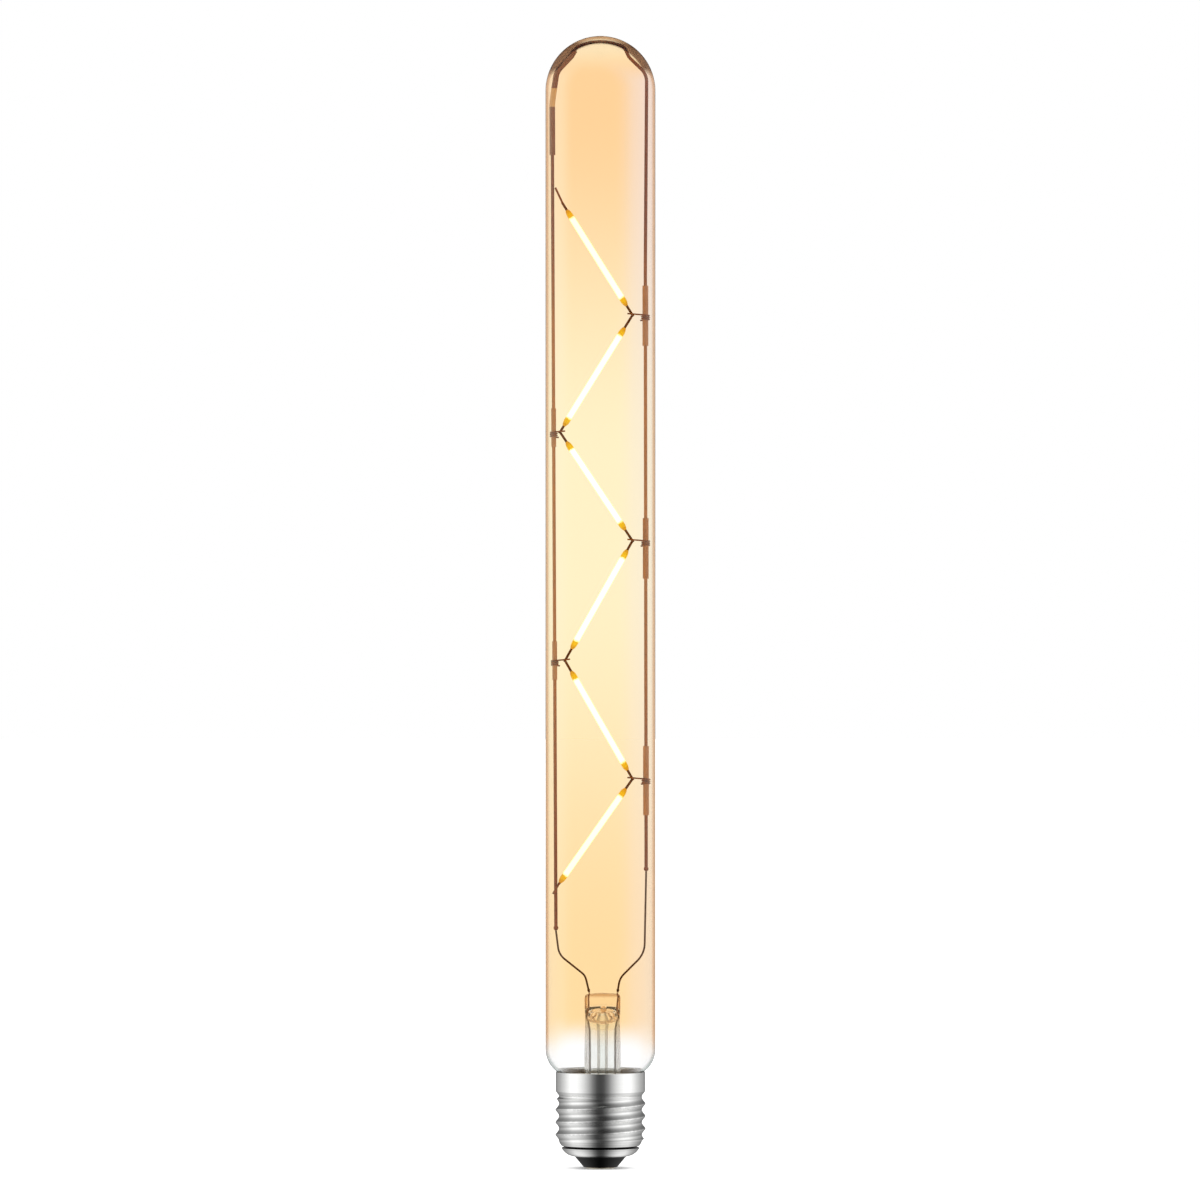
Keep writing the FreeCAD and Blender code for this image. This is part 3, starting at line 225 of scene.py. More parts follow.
# Node trees

def give(tree, node, inputs):
    """Give inputs of a node, by name or number, a value or another node's output."""
    for name, source in inputs.items():
        socket = node.inputs[name]
        if isinstance(source, bpy.types.NodeSocket):
            tree.links.new(source, socket)
        elif socket.type == "RGBA":
            socket.default_value = (*source, 1.0)[:4]
        else:
            socket.default_value = source
    return node


def add(tree, kind, inputs=None, **properties):
    """A new node with its properties and inputs set."""
    node = tree.nodes.new(kind)
    for name, value in properties.items():
        setattr(node, name, value)
    return give(tree, node, inputs or {})


def only(tree, kind):
    """The one node of a kind in a tree."""
    return next(node for node in tree.nodes if node.type == kind)


def maths(tree, operation, *values):
    """The output of a Math node."""
    return add(tree, "ShaderNodeMath", dict(enumerate(values)), operation=operation).outputs[0]


def times(tree, first, second):
    """The product of two vectors or colours, number by number."""
    return add(tree, "ShaderNodeVectorMath", {0: first, 1: second},
               operation="MULTIPLY").outputs[0]


def length_of(tree, vector):
    """The length of a vector."""
    return add(tree, "ShaderNodeVectorMath", {0: vector}, operation="LENGTH").outputs["Value"]


def axes_of(tree, vector):
    """The three numbers of a vector."""
    return add(tree, "ShaderNodeSeparateXYZ", {0: vector}).outputs[:]


def spread(tree, value, low, high, to_low=0.0, to_high=1.0, smooth=True):
    """The output of a clamped Map Range node."""
    return add(tree, "ShaderNodeMapRange",
               dict(enumerate((value, low, high, to_low, to_high))), clamp=True,
               interpolation_type="SMOOTHSTEP" if smooth else "LINEAR").outputs[0]


def blend(tree, share, first, second):
    """The colour output of a Mix node."""
    return add(tree, "ShaderNodeMix", {0: share, 6: first, 7: second}, data_type="RGBA",
               clamp_factor=True).outputs[2]


def ramp(tree, value, stops, interpolation="LINEAR"):
    """The colour output of a Color Ramp with these (place, colour) stops."""
    node = add(tree, "ShaderNodeValToRGB", {0: value})
    node.color_ramp.interpolation = interpolation
    elements = node.color_ramp.elements
    while len(elements) < len(stops):
        elements.new(0.5)
    for element, (place, colour) in zip(elements, stops):
        element.position = place
        element.color = (*colour, 1.0)
    return node.outputs[0]


def noise(tree, vector, scale, detail=3.0, roughness=0.5):
    """The value output of a Noise Texture node."""
    return add(tree, "ShaderNodeTexNoise", {"Vector": vector, "Scale": scale, "Detail": detail,
                                            "Roughness": roughness}).outputs[0]


def stretched(tree, vector, scale):
    """Coordinates stretched by a Mapping node."""
    return add(tree, "ShaderNodeMapping", {"Vector": vector, "Scale": scale}).outputs[0]


def bump(tree, height, strength, distance):
    """The normal output of a Bump node."""
    return add(tree, "ShaderNodeBump", {"Height": height, "Strength": strength,
                                        "Distance": distance}).outputs[0]


def object_coordinates(tree):
    """Object coordinates, in metres."""
    return add(tree, "ShaderNodeTexCoord").outputs["Object"]


def height_of(tree):
    """Height above the lamp's foot."""
    return axes_of(tree, object_coordinates(tree))[2]


def edge_on(tree):
    """0 where a face is seen square on, 1 where it is seen edge on."""
    return add(tree, "ShaderNodeLayerWeight", {"Blend": 0.5}).outputs["Facing"]


def light_path(tree, kind):
    """One output of a Light Path node."""
    return add(tree, "ShaderNodeLightPath").outputs[kind]


SOCKET_KINDS = {tuple: "NodeSocketColor", float: "NodeSocketFloat", int: "NodeSocketInt"}


def node_group(name, tree_kind, inputs, outputs):
    """A node group with named inputs and outputs, its input node's outputs and its end node.

    Inputs map to a default value, or to a kind of socket that has none; outputs to a kind.
    """
    group = bpy.data.node_groups.new(name, tree_kind)
    for label, default in inputs.items():
        kind = default if isinstance(default, str) else SOCKET_KINDS[type(default)]
        socket = group.interface.new_socket(label, in_out="INPUT", socket_type=kind)
        if kind != default:
            socket.default_value = default
    for label, kind in outputs.items():
        group.interface.new_socket(label, in_out="OUTPUT", socket_type=kind)
    return group, add(group, "NodeGroupInput").outputs, add(group, "NodeGroupOutput")


EFFECT_OUTPUTS = {"Colour": "NodeSocketColor", "Roughness": "NodeSocketFloat",
                  "Height": "NodeSocketFloat"}


def drawn_metal_group(name):
    """Streaks, stains and grain of drawn or rolled metal."""
    group, given, end = node_group(name, "ShaderNodeTree", {
        "Colour": (0.8, 0.8, 0.8, 1.0), "Stain": (0.4, 0.35, 0.3, 1.0), "Stain amount": 0.3,
        "Streaks across": 900.0, "Streaks along": 60.0, "Streak depth": 0.15,
        "Roughness": 0.3}, EFFECT_OUTPUTS)
    place = object_coordinates(group)
    scales = add(group, "ShaderNodeCombineXYZ", {
        0: given["Streaks across"], 1: given["Streaks across"], 2: given["Streaks along"]})
    streaks = noise(group, times(group, place, scales.outputs[0]), 1.0, 4.0, 0.6)
    patches = noise(group, place, 420.0, 3.0, 0.55)
    stain = maths(group, "MULTIPLY", spread(group, patches, 0.45, 0.7), given["Stain amount"])
    dull = maths(group, "MULTIPLY", spread(group, streaks, 0.3, 0.7), given["Streak depth"])
    shaded = add(group, "ShaderNodeVectorMath", {
        0: given["Colour"], "Scale": maths(group, "SUBTRACT", 1.0, dull)}, operation="SCALE")
    uneven = maths(group, "MULTIPLY", maths(group, "SUBTRACT", streaks, 0.5),
                   given["Streak depth"])
    rough = maths(group, "ADD", given["Roughness"], uneven)
    give(group, end, {
        "Colour": blend(group, stain, shaded.outputs[0], given["Stain"]),
        "Roughness": maths(group, "MULTIPLY_ADD", stain, 0.25, rough), "Height": streaks})
    return group


def moulded_group(name):
    """Fine texture and dust of moulded plastic, cement and ceramic."""
    group, given, end = node_group(name, "ShaderNodeTree", {
        "Colour": (0.1, 0.1, 0.1, 1.0), "Dust": (0.5, 0.48, 0.45, 1.0), "Dust amount": 0.1,
        "Grain size": 2200.0, "Roughness": 0.4}, EFFECT_OUTPUTS)
    place = object_coordinates(group)
    grain = noise(group, place, given["Grain size"], 2.0, 0.5)
    clouds = noise(group, place, 160.0, 3.0, 0.6)
    dust = maths(group, "MULTIPLY", spread(group, clouds, 0.4, 0.75), given["Dust amount"])
    give(group, end, {
        "Colour": blend(group, dust, given["Colour"], given["Dust"]),
        "Roughness": maths(group, "MULTIPLY_ADD", grain, 0.12, given["Roughness"]),
        "Height": grain})
    return group


def place_group(tree, build, name, values):
    """Outputs of a shared group in a material; the group is built where it is first placed."""
    group = bpy.data.node_groups.get(name) or build(name)
    return add(tree, "ShaderNodeGroup", values, node_tree=group).outputs


# Materials

def new_material(name):
    """A material with one Principled shader: the material, its tree and the shader."""
    material = bpy.data.materials.new(name)
    material.use_nodes = True
    tree = material.node_tree
    tree.nodes.clear()
    shader = add(tree, "ShaderNodeBsdfPrincipled")
    add(tree, "ShaderNodeOutputMaterial", {"Surface": shader.outputs[0]})
    return material, tree, shader


def show_mix(tree, share, first, second):
    """Let a material show one shader, and another by a share."""
    mix = add(tree, "ShaderNodeMixShader", {0: share, 1: first.outputs[0], 2: second.outputs[0]})
    give(tree, only(tree, "OUTPUT_MATERIAL"), {"Surface": mix.outputs[0]})


def metal(name, colour, stain, roughness, edge=1.0, bare=1.0):
    """Drawn or rolled metal.

    Edge is how pale it goes where it is seen edge on, and bare is its share without oxide.
    """
    material, tree, shader = new_material(name)
    group = place_group(tree, drawn_metal_group, "Drawn metal", {
        "Colour": colour, "Stain": stain, "Roughness": roughness})
    give(tree, shader, {
        "Base Color": group["Colour"], "Roughness": group["Roughness"], "Metallic": bare,
        "Specular IOR Level": 0.5 if bare == 1.0 else 0.1, "Specular Tint": (edge, edge, edge),
        "Normal": bump(tree, group["Height"], 0.3, 0.02 * MM)})
    return material


def moulding(name, colour, dust, roughness, dust_amount=0.1, grain=2200.0, relief=0.01 * MM,
             gloss=0.5):
    """Moulded plastic, ceramic or cement."""
    material, tree, shader = new_material(name)
    group = place_group(tree, moulded_group, "Moulded grain", {
        "Colour": colour, "Dust": dust, "Dust amount": dust_amount, "Grain size": grain,
        "Roughness": roughness})
    give(tree, shader, {
        "Base Color": group["Colour"], "Roughness": group["Roughness"],
        "Specular IOR Level": gloss, "Normal": bump(tree, group["Height"], 0.3, relief)})
    return material


def rail_metal(settings):
    """Plated rail, browned by heat towards both ends of the tube."""
    material = metal("Plated rail", settings.rail, (0.42, 0.17, 0.06), 0.34, edge=0.15, bare=0.55)
    tree = material.node_tree
    shader = only(tree, "BSDF_PRINCIPLED")
    plain = shader.inputs["Base Color"].links[0].from_socket
    height = height_of(tree)
    top, foot = settings.brown_top, settings.brown_foot
    ends = maths(tree, "MAXIMUM", spread(tree, height, top - 45.0 * MM, top),
                 spread(tree, height, foot + 100.0 * MM, foot))
    give(tree, shader, {"Base Color": blend(tree, ends, plain, settings.brown)})
    return material


def make_glass(tree, shader, tint, lamp_tint, roughness=0.0, transmission=1.0, mirror=WHITE):
    """Turn a material's shader into glass of a tint; mirror is what it mirrors head on.

    Light falling through it passes straight, and two faces give it the lamp tint.
    """
    give(tree, shader, {
        "Base Color": tint, "Roughness": roughness, "IOR": 1.5,
        "Transmission Weight": transmission, "Specular Tint": mirror})
    clear = add(tree, "ShaderNodeBsdfTransparent", {
        "Color": [math.sqrt(channel) for channel in lamp_tint]})
    show_mix(tree, light_path(tree, "Is Shadow Ray"), shader, clear)


def drifting(tree, colour, paler_share=0.25):
    """A colour that drifts a little paler along the glass, and the noise that it follows."""
    clouds = noise(tree, stretched(tree, object_coordinates(tree), (1.0, 1.0, 0.25)), 300.0, 2.0)
    paler = [channel + (1.0 - channel) * paler_share for channel in colour]
    return blend(tree, spread(tree, clouds, 0.35, 0.65), colour, paler), clouds


def clear_glass(settings):
    """The tube's inner face, with no coat."""
    material, tree, shader = new_material("Clear inner face")
    colour = (0.995, 0.995, 0.995)
    tint, _ = drifting(tree, colour)
    make_glass(tree, shader, tint, colour, mirror=settings.mirror)
    return material


def exhaust_glass(settings):
    """Clear tube whose wall shows darker where it is seen edge on."""
    material, tree, shader = new_material("Exhaust tube glass")
    tint, clouds = drifting(tree, settings.stem_tint)
    # Painted edge shade: the wall darkens where it is seen edge on.
    wall = spread(tree, edge_on(tree), 0.14, 0.38)
    make_glass(tree, shader, blend(tree, wall, tint, (0.24, 0.21, 0.17)), settings.stem_tint)
    give(tree, shader, {"Normal": bump(tree, clouds, 0.3, 0.02 * MM)})
    return material


def stem_glass(settings):
    """Clear glass of the stem, amber in the pinch, where the coat above it shines in."""
    material, tree, shader = new_material("Stem glass")
    edge_shade_grey, edge_shade_brown, scattered = (0.40, 0.375, 0.34), (0.46, 0.23, 0.09), 0.04
    across, _, height = axes_of(tree, object_coordinates(tree))
    top, half = settings.pinch_top, settings.pinch_half_width
    pinch_start, pinch_full = top - 8.6 * MM, top - 5.6 * MM
    pinched = spread(tree, height, pinch_start, pinch_full)
    clear, clouds = drifting(tree, settings.stem_tint)
    tint = blend(tree, pinched, clear, settings.pinch_tint)
    facing = edge_on(tree)
    # Painted edge shade: the stem's walls go grey where they are seen edge on.
    wall = blend(tree, spread(tree, facing, 0.31, 0.46), tint, edge_shade_grey)
    aside = maths(tree, "ABSOLUTE", maths(tree, "SUBTRACT", across, settings.stem_offset))
    # Painted edge shade in the pinch: brown along its top and sides and where it is seen edge on.
    edges = maths(tree, "MAXIMUM", spread(tree, height, top - 1.5 * MM, top - 0.5 * MM),
                  spread(tree, aside, half - 1.3 * MM, half - 0.5 * MM))
    dark = maths(tree, "MAXIMUM", spread(tree, facing, 0.14, 0.62),
                 maths(tree, "MULTIPLY", edges, 0.95))
    painted_edge_shade = blend(tree, dark, tint, edge_shade_brown)
    make_glass(tree, shader, blend(tree, pinched, wall, painted_edge_shade), settings.stem_tint,
               transmission=1.0 - scattered)
    give(tree, shader, {"Normal": bump(tree, clouds, 0.4, 0.03 * MM)})
    return material


def sleeve_glass(name, settings, bare):
    """Milky glass of a sleeve; the top one, which is set as bare, has a stretch with no wire."""
    material, tree, shader = new_material(name)
    tint, clouds = drifting(tree, settings.filled_sleeve if bare else settings.sleeve, 0.06)
    if bare:
        height, blur = height_of(tree), 0.15 * MM
        foot, top = settings.bare_foot, settings.bare_top
        between = maths(tree, "MULTIPLY", spread(tree, height, foot - blur, foot + blur),
                        spread(tree, height, top + blur, top - blur))
        tint = blend(tree, between, tint, settings.bare_sleeve)
    # Painted edge shade: the sleeve darkens towards its rim.
    rim = spread(tree, edge_on(tree), 0.35, 0.8)
    shaded = times(tree, tint, (0.66, 0.58, 0.50))
    make_glass(tree, shader, blend(tree, rim, tint, shaded), settings.sleeve, roughness=0.3,
               transmission=0.0)
    give(tree, shader, {"Specular IOR Level": 0.15, "Normal": bump(tree, clouds, 0.3, 0.02 * MM)})
    return material


def coated_glass(settings):
    """The tube's outer face: an amber coat that fades out towards the cap."""
    material, tree, shader = new_material("Amber coated glass")
    place = object_coordinates(tree)
    across, _, height = axes_of(tree, place)
    facing = edge_on(tree)

    red, green, blue = settings.dome_amber
    # The crown stop, paler and bluer than the dome amber, is a painted highlight.
    crown = (red + (1.0 - red) * 0.4, green + (1.0 - green) * 0.4, blue * 1.5)
    # Painted light in the ramp: the paler amber halfway up paints the filaments' glow into the
    # coat.
    zones = ((58.0, settings.foot_amber), (178.0, settings.middle_amber),
             (205.0, settings.middle_amber), (311.0, settings.dome_amber),
             (318.0, settings.dome_amber), (326.5, crown))
    amber = ramp(tree, spread(tree, height, TUBE_FOOT, TUBE_TOP, smooth=False),
                 [((level * MM - TUBE_FOOT) / (TUBE_TOP - TUBE_FOOT), colour)
                  for level, colour in zones], "EASE")

    # Painted sheen: a paler band painted on each side of the middle, warm on the left and rosy on
    # the right, stronger up the tube and none under the dome.
    side = spread(tree, across, -0.3 * TUBE_RADIUS, 0.3 * TUBE_RADIUS)
    sheen = blend(tree, side, settings.warm_painted_sheen, settings.rosy_painted_sheen)
    started = maths(tree, "MULTIPLY_ADD", side, 0.10, facing)
    painted_sheen_share = maths(tree, "MULTIPLY", spread(tree, started, 0.12, 0.32),
                 spread(tree, height, 190.0 * MM, 280.0 * MM, 0.34, 0.60))
    under_dome = spread(tree, height, DOME_FOOT + 9.0 * MM, DOME_FOOT + 2.0 * MM)
    amber = blend(tree, maths(tree, "MULTIPLY", painted_sheen_share, under_dome), amber, sheen)

    drift = noise(tree, stretched(tree, place, (1.0, 1.0, 0.35)), 55.0, 2.0)
    wander = maths(tree, "MULTIPLY", maths(tree, "SUBTRACT", drift, 0.5), 5.0 * MM)
    deeper = maths(tree, "ADD", wander, spread(tree, facing, 0.08, 0.5, 0.0, 4.0 * MM))
    full = spread(tree, maths(tree, "ADD", height, deeper), settings.coat_foot,
                  settings.coat_full)
    coat = blend(tree, full, WHITE, amber)

    # Edge on, the coat darkens to the rim tint, partly its longer path and partly painted edge
    # shade; below the coat the clear glass gets a grey-green painted edge shade.
    clear_edge_shade = (0.42, 0.48, 0.46)
    rim_colour = blend(tree, full, clear_edge_shade, settings.rim_tint)
    coat = blend(tree, spread(tree, facing, 0.60, 0.74), coat, rim_colour)
    # Painted shade: a dark lobe painted where the dome's shoulder is seen nearly edge on, fading
    # out towards the crown.
    shoulder = maths(tree, "MULTIPLY",
                     spread(tree, height, DOME_FOOT + 2.5 * MM, DOME_FOOT + 6.5 * MM),
                     spread(tree, height, TUBE_TOP - 1.0 * MM, TUBE_TOP - 2.8 * MM, 0.25, 1.0))
    start = maths(tree, "MULTIPLY_ADD", shoulder, -0.25, 0.70)
    lobe = spread(tree, facing, start, maths(tree, "ADD", start, 0.07))
    coat = blend(tree, maths(tree, "MULTIPLY", shoulder, lobe), coat, settings.shoulder_painted_shade)
    make_glass(tree, shader, coat, settings.middle_amber, mirror=settings.mirror)
    waves = noise(tree, stretched(tree, place, (1.0, 1.0, 0.12)), 110.0, 1.0)
    give(tree, shader, {"Normal": bump(tree, waves, 0.25, 0.05 * MM)})
    return material


def lit_coat(settings):
    """Phosphor silicone: lit over the chips, yellower at its flanks, unlit at its ends."""
    material, tree, shader = new_material("Lit phosphor coat")
    end_outline, lit_base, most_faces_crossed = (0.42, 0.20, 0.02), (0.95, 0.82, 0.42), 3.5
    distance, flank = (add(tree, "ShaderNodeAttribute", attribute_name=name).outputs["Fac"]
                       for name in ("tip_distance", "flank"))
    clouds = noise(tree, object_coordinates(tree), 1400.0, 2.0)
    ragged = maths(tree, "MULTIPLY_ADD", maths(tree, "SUBTRACT", clouds, 0.5), 0.7 * MM, distance)
    lit = spread(tree, ragged, settings.end_length * 0.8, settings.end_length * 1.15)
    ends = blend(tree, spread(tree, distance, 0.3 * MM, 1.7 * MM), settings.tip, settings.end)
    ends = blend(tree, spread(tree, flank, 0.55, 1.0, 0.0, 0.6), ends, end_outline)
    glow = blend(tree, spread(tree, flank, 0.34, 0.78), settings.light, settings.flank)
    glow = blend(tree, lit, settings.end_light, glow)
    straight = maths(tree, "LESS_THAN", light_path(tree, "Ray Depth"), most_faces_crossed)
    give(tree, shader, {
        "Base Color": blend(tree, lit, ends, lit_base),
        "Roughness": spread(tree, clouds, 0.3, 0.7, 0.42, 0.6),
        "Emission Color": blend(tree, straight, BLACK, glow),
        "Emission Strength": settings.strength,
        "Normal": bump(tree, clouds, 0.3, 0.03 * MM)})
    return material


def shell_metal(settings):
    """Bright satin metal of the shell, rubbed bright on the thread's crests."""
    material, tree, shader = new_material("Satin shell metal")
    place = object_coordinates(tree)
    group = place_group(tree, drawn_metal_group, "Drawn metal", {
        "Colour": settings.metal, "Stain": (0.60, 0.59, 0.57), "Stain amount": 0.0,
        "Streaks across": 60.0, "Streaks along": 5200.0, "Streak depth": 0.04,
        "Roughness": 0.11})
    radius = length_of(tree, times(tree, place, (1.0, 1.0, 0.0)))
    height = height_of(tree)
    foot, groove = settings.collar_foot, settings.groove_height
    crest = maths(tree, "MULTIPLY", spread(tree, radius, THREAD_CREST - 0.5 * MM, THREAD_CREST),
                  spread(tree, height, foot, foot - 1.0 * MM))
    scuffs = spread(tree, noise(tree, place, 800.0, 4.0), 0.45, 0.6)
    rubbed = maths(tree, "MULTIPLY", crest, scuffs)
    colour = blend(tree, rubbed, group["Colour"], (0.90, 0.90, 0.89))
    # Painted shade: the rolled groove is painted near black, where shade falls in it.
    off_groove = maths(tree, "ABSOLUTE", maths(tree, "SUBTRACT", height, groove))
    painted_groove_shade = spread(tree, off_groove, 0.42 * MM, 0.2 * MM)
    give(tree, shader, {
        "Base Color": blend(tree, painted_groove_shade, colour, (0.01, 0.01, 0.01)),
        "Roughness": maths(tree, "MULTIPLY_ADD", rubbed, -0.04, group["Roughness"]),
        "Metallic": 1.0, "Normal": bump(tree, group["Height"], 0.08, 0.002 * MM)})
    return material


# Pieces

def wear(material, *nodes):
    """Give solids' own objects a finish."""
    for node in nodes:
        NODES[node].material_slots[0].material = material


def keep_piece(piece, slot, *nodes):
    """Let a finished piece ride and stand for its solids; slot is not used."""
    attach(piece, "root")
    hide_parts(*nodes)


def new_piece(name, data):
    """An object for a finished mesh or curve, linked to the scene."""
    piece = bpy.data.objects.new(name, data)
    bpy.context.scene.collection.objects.link(piece)
    return piece


def finished_mesh(piece):
    """A plain mesh of a piece with its modifiers applied."""
    depsgraph = bpy.context.evaluated_depsgraph_get()
    depsgraph.update()
    return bpy.data.meshes.new_from_object(piece.evaluated_get(depsgraph),
                                           preserve_all_data_layers=True, depsgraph=depsgraph)


def arc(centre, radius, start, end, steps):
    """Points of an arc in the (radius, height) plane, angles in degrees from +radius."""
    angles = [math.radians(start + (end - start) * step / steps) for step in range(steps + 1)]
    return [(centre[0] + radius * math.cos(angle), centre[1] + radius * math.sin(angle))
            for angle in angles]


def skin(name, rings, materials, second_from=None):
    """A closed smooth mesh through rings of points, from the last ring back to the first.

    A ring of one point is a pole. Faces from the ring of number second_from on take the
    second material.
    """
    build = bmesh.new()
    rows = [[build.verts.new(point) for point in ring] for ring in rings]
    steps = max(len(row) for row in rows)
    for number, (lower, upper) in enumerate(zip(rows, rows[1:] + rows[:1])):
        for step in range(steps):
            following = (step + 1) % steps
            corners = [lower[step % len(lower)], lower[following % len(lower)],
                       upper[following % len(upper)], upper[step % len(upper)]]
            corners = list(dict.fromkeys(corners))
            if len(corners) > 2:
                face = build.faces.new(corners)
                face.smooth = True
                face.material_index = int(second_from is not None and number >= second_from)
    bmesh.ops.recalc_face_normals(build, faces=build.faces[:])
    mesh = bpy.data.meshes.new(name)
    build.to_mesh(mesh)
    build.free()
    for material in materials:
        mesh.materials.append(material)
    return mesh


def smooth_rows(keys, steps):
    """Rows between key rows of numbers, on a smooth line through all of them."""
    keys = numpy.array(keys, dtype=float)
    slopes = numpy.gradient(keys, axis=0)
    rows = []
    for first, second, slope, next_slope in zip(keys, keys[1:], slopes, slopes[1:]):
        for step in range(steps):
            share = step / steps
            rise = share * share * (3 - 2 * share)
            rows.append(first + (second - first) * rise
                        + slope * share * (1 - share) ** 2
                        - next_slope * share * share * (1 - share))
    rows.append(keys[-1])
    return rows


class LAMP_OT_glass_tube(bpy.types.Operator):
    """Blow the long tube with its dome, shoulder and neck"""

    bl_idname = "lamp.glass_tube"
    bl_label = "Glass Tube"

    def execute(self, context):
        settings = context.scene.lamp_glass
        neck, foot, top = settings.neck_radius, settings.shoulder_foot, settings.shoulder_top
        rise, step_out = top - foot, TUBE_RADIUS - neck
        both_arcs = (rise ** 2 + step_out ** 2) / (2 * step_out)
        upper = both_arcs * settings.shoulder_share
        lower = both_arcs - upper
        turn = math.degrees(math.asin(rise * settings.shoulder_share / upper))
        runs = 24
        run = (DOME_FOOT - top) / runs

        def face(inset):
            """One face of the glass from the neck to the crown, as (radius, height)."""
            return [(neck - inset, TUBE_FOOT), (neck - inset, (TUBE_FOOT + foot) / 2),
                    *arc((neck + lower, foot), lower + inset, 180, 180 - turn, steps=10),
                    *arc((TUBE_RADIUS - upper, top), upper - inset, -turn, 0, steps=16)[1:],
                    *[(TUBE_RADIUS - inset, top + run * number) for number in range(1, runs)],
                    *arc((0.0, DOME_FOOT), TUBE_RADIUS - inset, 0, 90, steps=40)[:-1],
                    (0.0, TUBE_TOP - inset)]

        def ring(radius, height):
            """Points round the axis, or one point on it."""
            steps = settings.steps_round if radius else 1
            angles = [2 * math.pi * step / steps for step in range(steps)]
            return [(radius * math.cos(angle), radius * math.sin(angle), height)
                    for angle in angles]

        outer, inner = face(0.0), face(settings.wall)
        tube = skin("glass_tube", [ring(*point) for point in outer + inner[::-1]],
                    [coated_glass(settings), clear_glass(settings)], second_from=len(outer))
        keep_piece(new_piece("glass_tube", tube), "envelope_glass", "glass_envelope")
        return {"FINISHED"}


def stem_rows(settings):
    """Sections of the stem's hollow and of its outside, from the roof down and back up.

    Each is a height, half width, half depth, middle, squareness (2 is an ellipse) and lean,
    which is how far the section's rear stands above its middle.
    """
    wide, deep, top = settings.pinch_half_width, settings.pinch_half_depth, settings.pinch_top
    foot, waist, tube = STEM_FOOT, 5.45 * MM, 5.05 * MM
    roof, full_lean = top - 7.1 * MM, 1.75 * MM

    def section(height, wide, deep, squareness=2.0, lean=0.0, aside=1.0):
        """One section; lean and aside are shares of the full lean and of the stem's offset."""
        return height, wide, deep, settings.stem_offset * aside, squareness, full_lean * lean

    def flare(height, radius, aside=0.0):
        """One round section."""
        return section(height, radius, radius, aside=aside)

    hollow = smooth_rows([
        section(roof + 0.85 * MM, 0.4 * MM, 0.4 * MM),
        section(roof + 0.80 * MM, 1.65 * MM, 1.65 * MM),
        section(roof + 0.35 * MM, 1.9 * MM, 1.85 * MM, lean=0.2),
        section(roof, 2.6 * MM, 2.3 * MM, lean=0.6),
        section(roof, 3.6 * MM, 3.2 * MM, lean=0.86),
        section(roof - 0.2 * MM, 4.05 * MM, 3.65 * MM, lean=1.0),
        section(roof - 0.8 * MM, 4.18 * MM, 3.8 * MM, lean=1.0),
        section(roof - 2.4 * MM, 4.18 * MM, 3.95 * MM, lean=0.5),
        section(roof - 5.0 * MM, 4.15 * MM, 4.1 * MM),
        flare(25.0 * MM, waist - 0.95 * MM, 1.0),
        flare(21.0 * MM, 5.7 * MM, 0.6),
        flare(foot + 1.2 * MM, 8.3 * MM),
        flare(foot + 0.3 * MM, 9.9 * MM)], steps=6)
    outside = smooth_rows([
        flare(foot + 0.1 * MM, 10.4 * MM),
        flare(foot + 0.5 * MM, 10.9 * MM),
        flare(foot + 1.0 * MM, 10.3 * MM),
        flare(foot + 2.4 * MM, 8.2 * MM),
        flare(21.0 * MM, 6.5 * MM, 0.6),
        flare(25.0 * MM, waist, 1.0),
        flare(top - 17.5 * MM, waist - 0.15 * MM, 1.0),
        flare(top - 9.0 * MM, tube, 1.0),
        section(top - 6.6 * MM, tube + 0.05 * MM, 4.4 * MM, 2.1),
        section(top - 5.2 * MM, wide - 0.05 * MM, 3.2 * MM, 2.2),
        section(top - 4.2 * MM, wide, 2.35 * MM, 2.35),
        section(top - 3.2 * MM, wide, deep, 2.5),
        section(top - 1.6 * MM, wide, deep, 2.5),
        section(top - 0.7 * MM, wide - 0.12 * MM, deep - 0.25 * MM, 2.5),
        section(top - 0.15 * MM, wide - 0.5 * MM, deep - 0.8 * MM, 2.5),
        section(top, wide - 1.3 * MM, deep - 1.4 * MM, 2.4)], steps=6)
    return hollow, outside


def stem_rings(settings):
    """Rings of the stem's one closed skin: down its hollow, up the outside, over the pinch."""
    middle, top = settings.stem_offset, settings.pinch_top
    vent_x, vent_radius, vent_depth = middle + 0.3 * MM, 1.0 * MM, 1.7 * MM
    shaped_band, corner_start, corner_rise, crown_fall = 2 * MM, 0.6, 0.35 * MM, 0.3 * MM
    rear_drawn_in = 170.0  # Share of the half depth, for each metre of lean
    steps = 224
    hollow, outside = stem_rows(settings)

    def point(row, turn, is_outside):
        """One point of a section; the pinch's outside has a vent and a raised right corner."""
        height, wide, deep, centre, squareness, lean = row
        cosine, sine = math.cos(turn), math.sin(turn)
        x = wide * math.copysign(abs(cosine) ** (2 / squareness), cosine)
        y = deep * math.copysign(abs(sine) ** (2 / squareness), sine)
        z = height + lean * y / deep
        if y > 0:
            y *= 1 - rear_drawn_in * lean
        elif is_outside:
            off = math.hypot(centre + x - vent_x, z - settings.vent_height) / vent_radius
            y += vent_depth * max(0.0, 1 - off * off) ** 2
        if is_outside and height > top - shaped_band:
            near_top = 1 - (top - height) / shaped_band
            z += near_top * (corner_rise * max(0.0, x / wide - corner_start)
                             - crown_fall * (x / wide) ** 2)
        return centre + x, y, z

    turns = [2 * math.pi * step / steps for step in range(steps)]
    rings = [[point(row, turn, False) for turn in turns] for row in hollow]
    rings += [[point(row, turn, True) for turn in turns] for row in outside]
    return [[(middle, 0.0, hollow[0][0])], *rings, [(middle, 0.0, top)]]


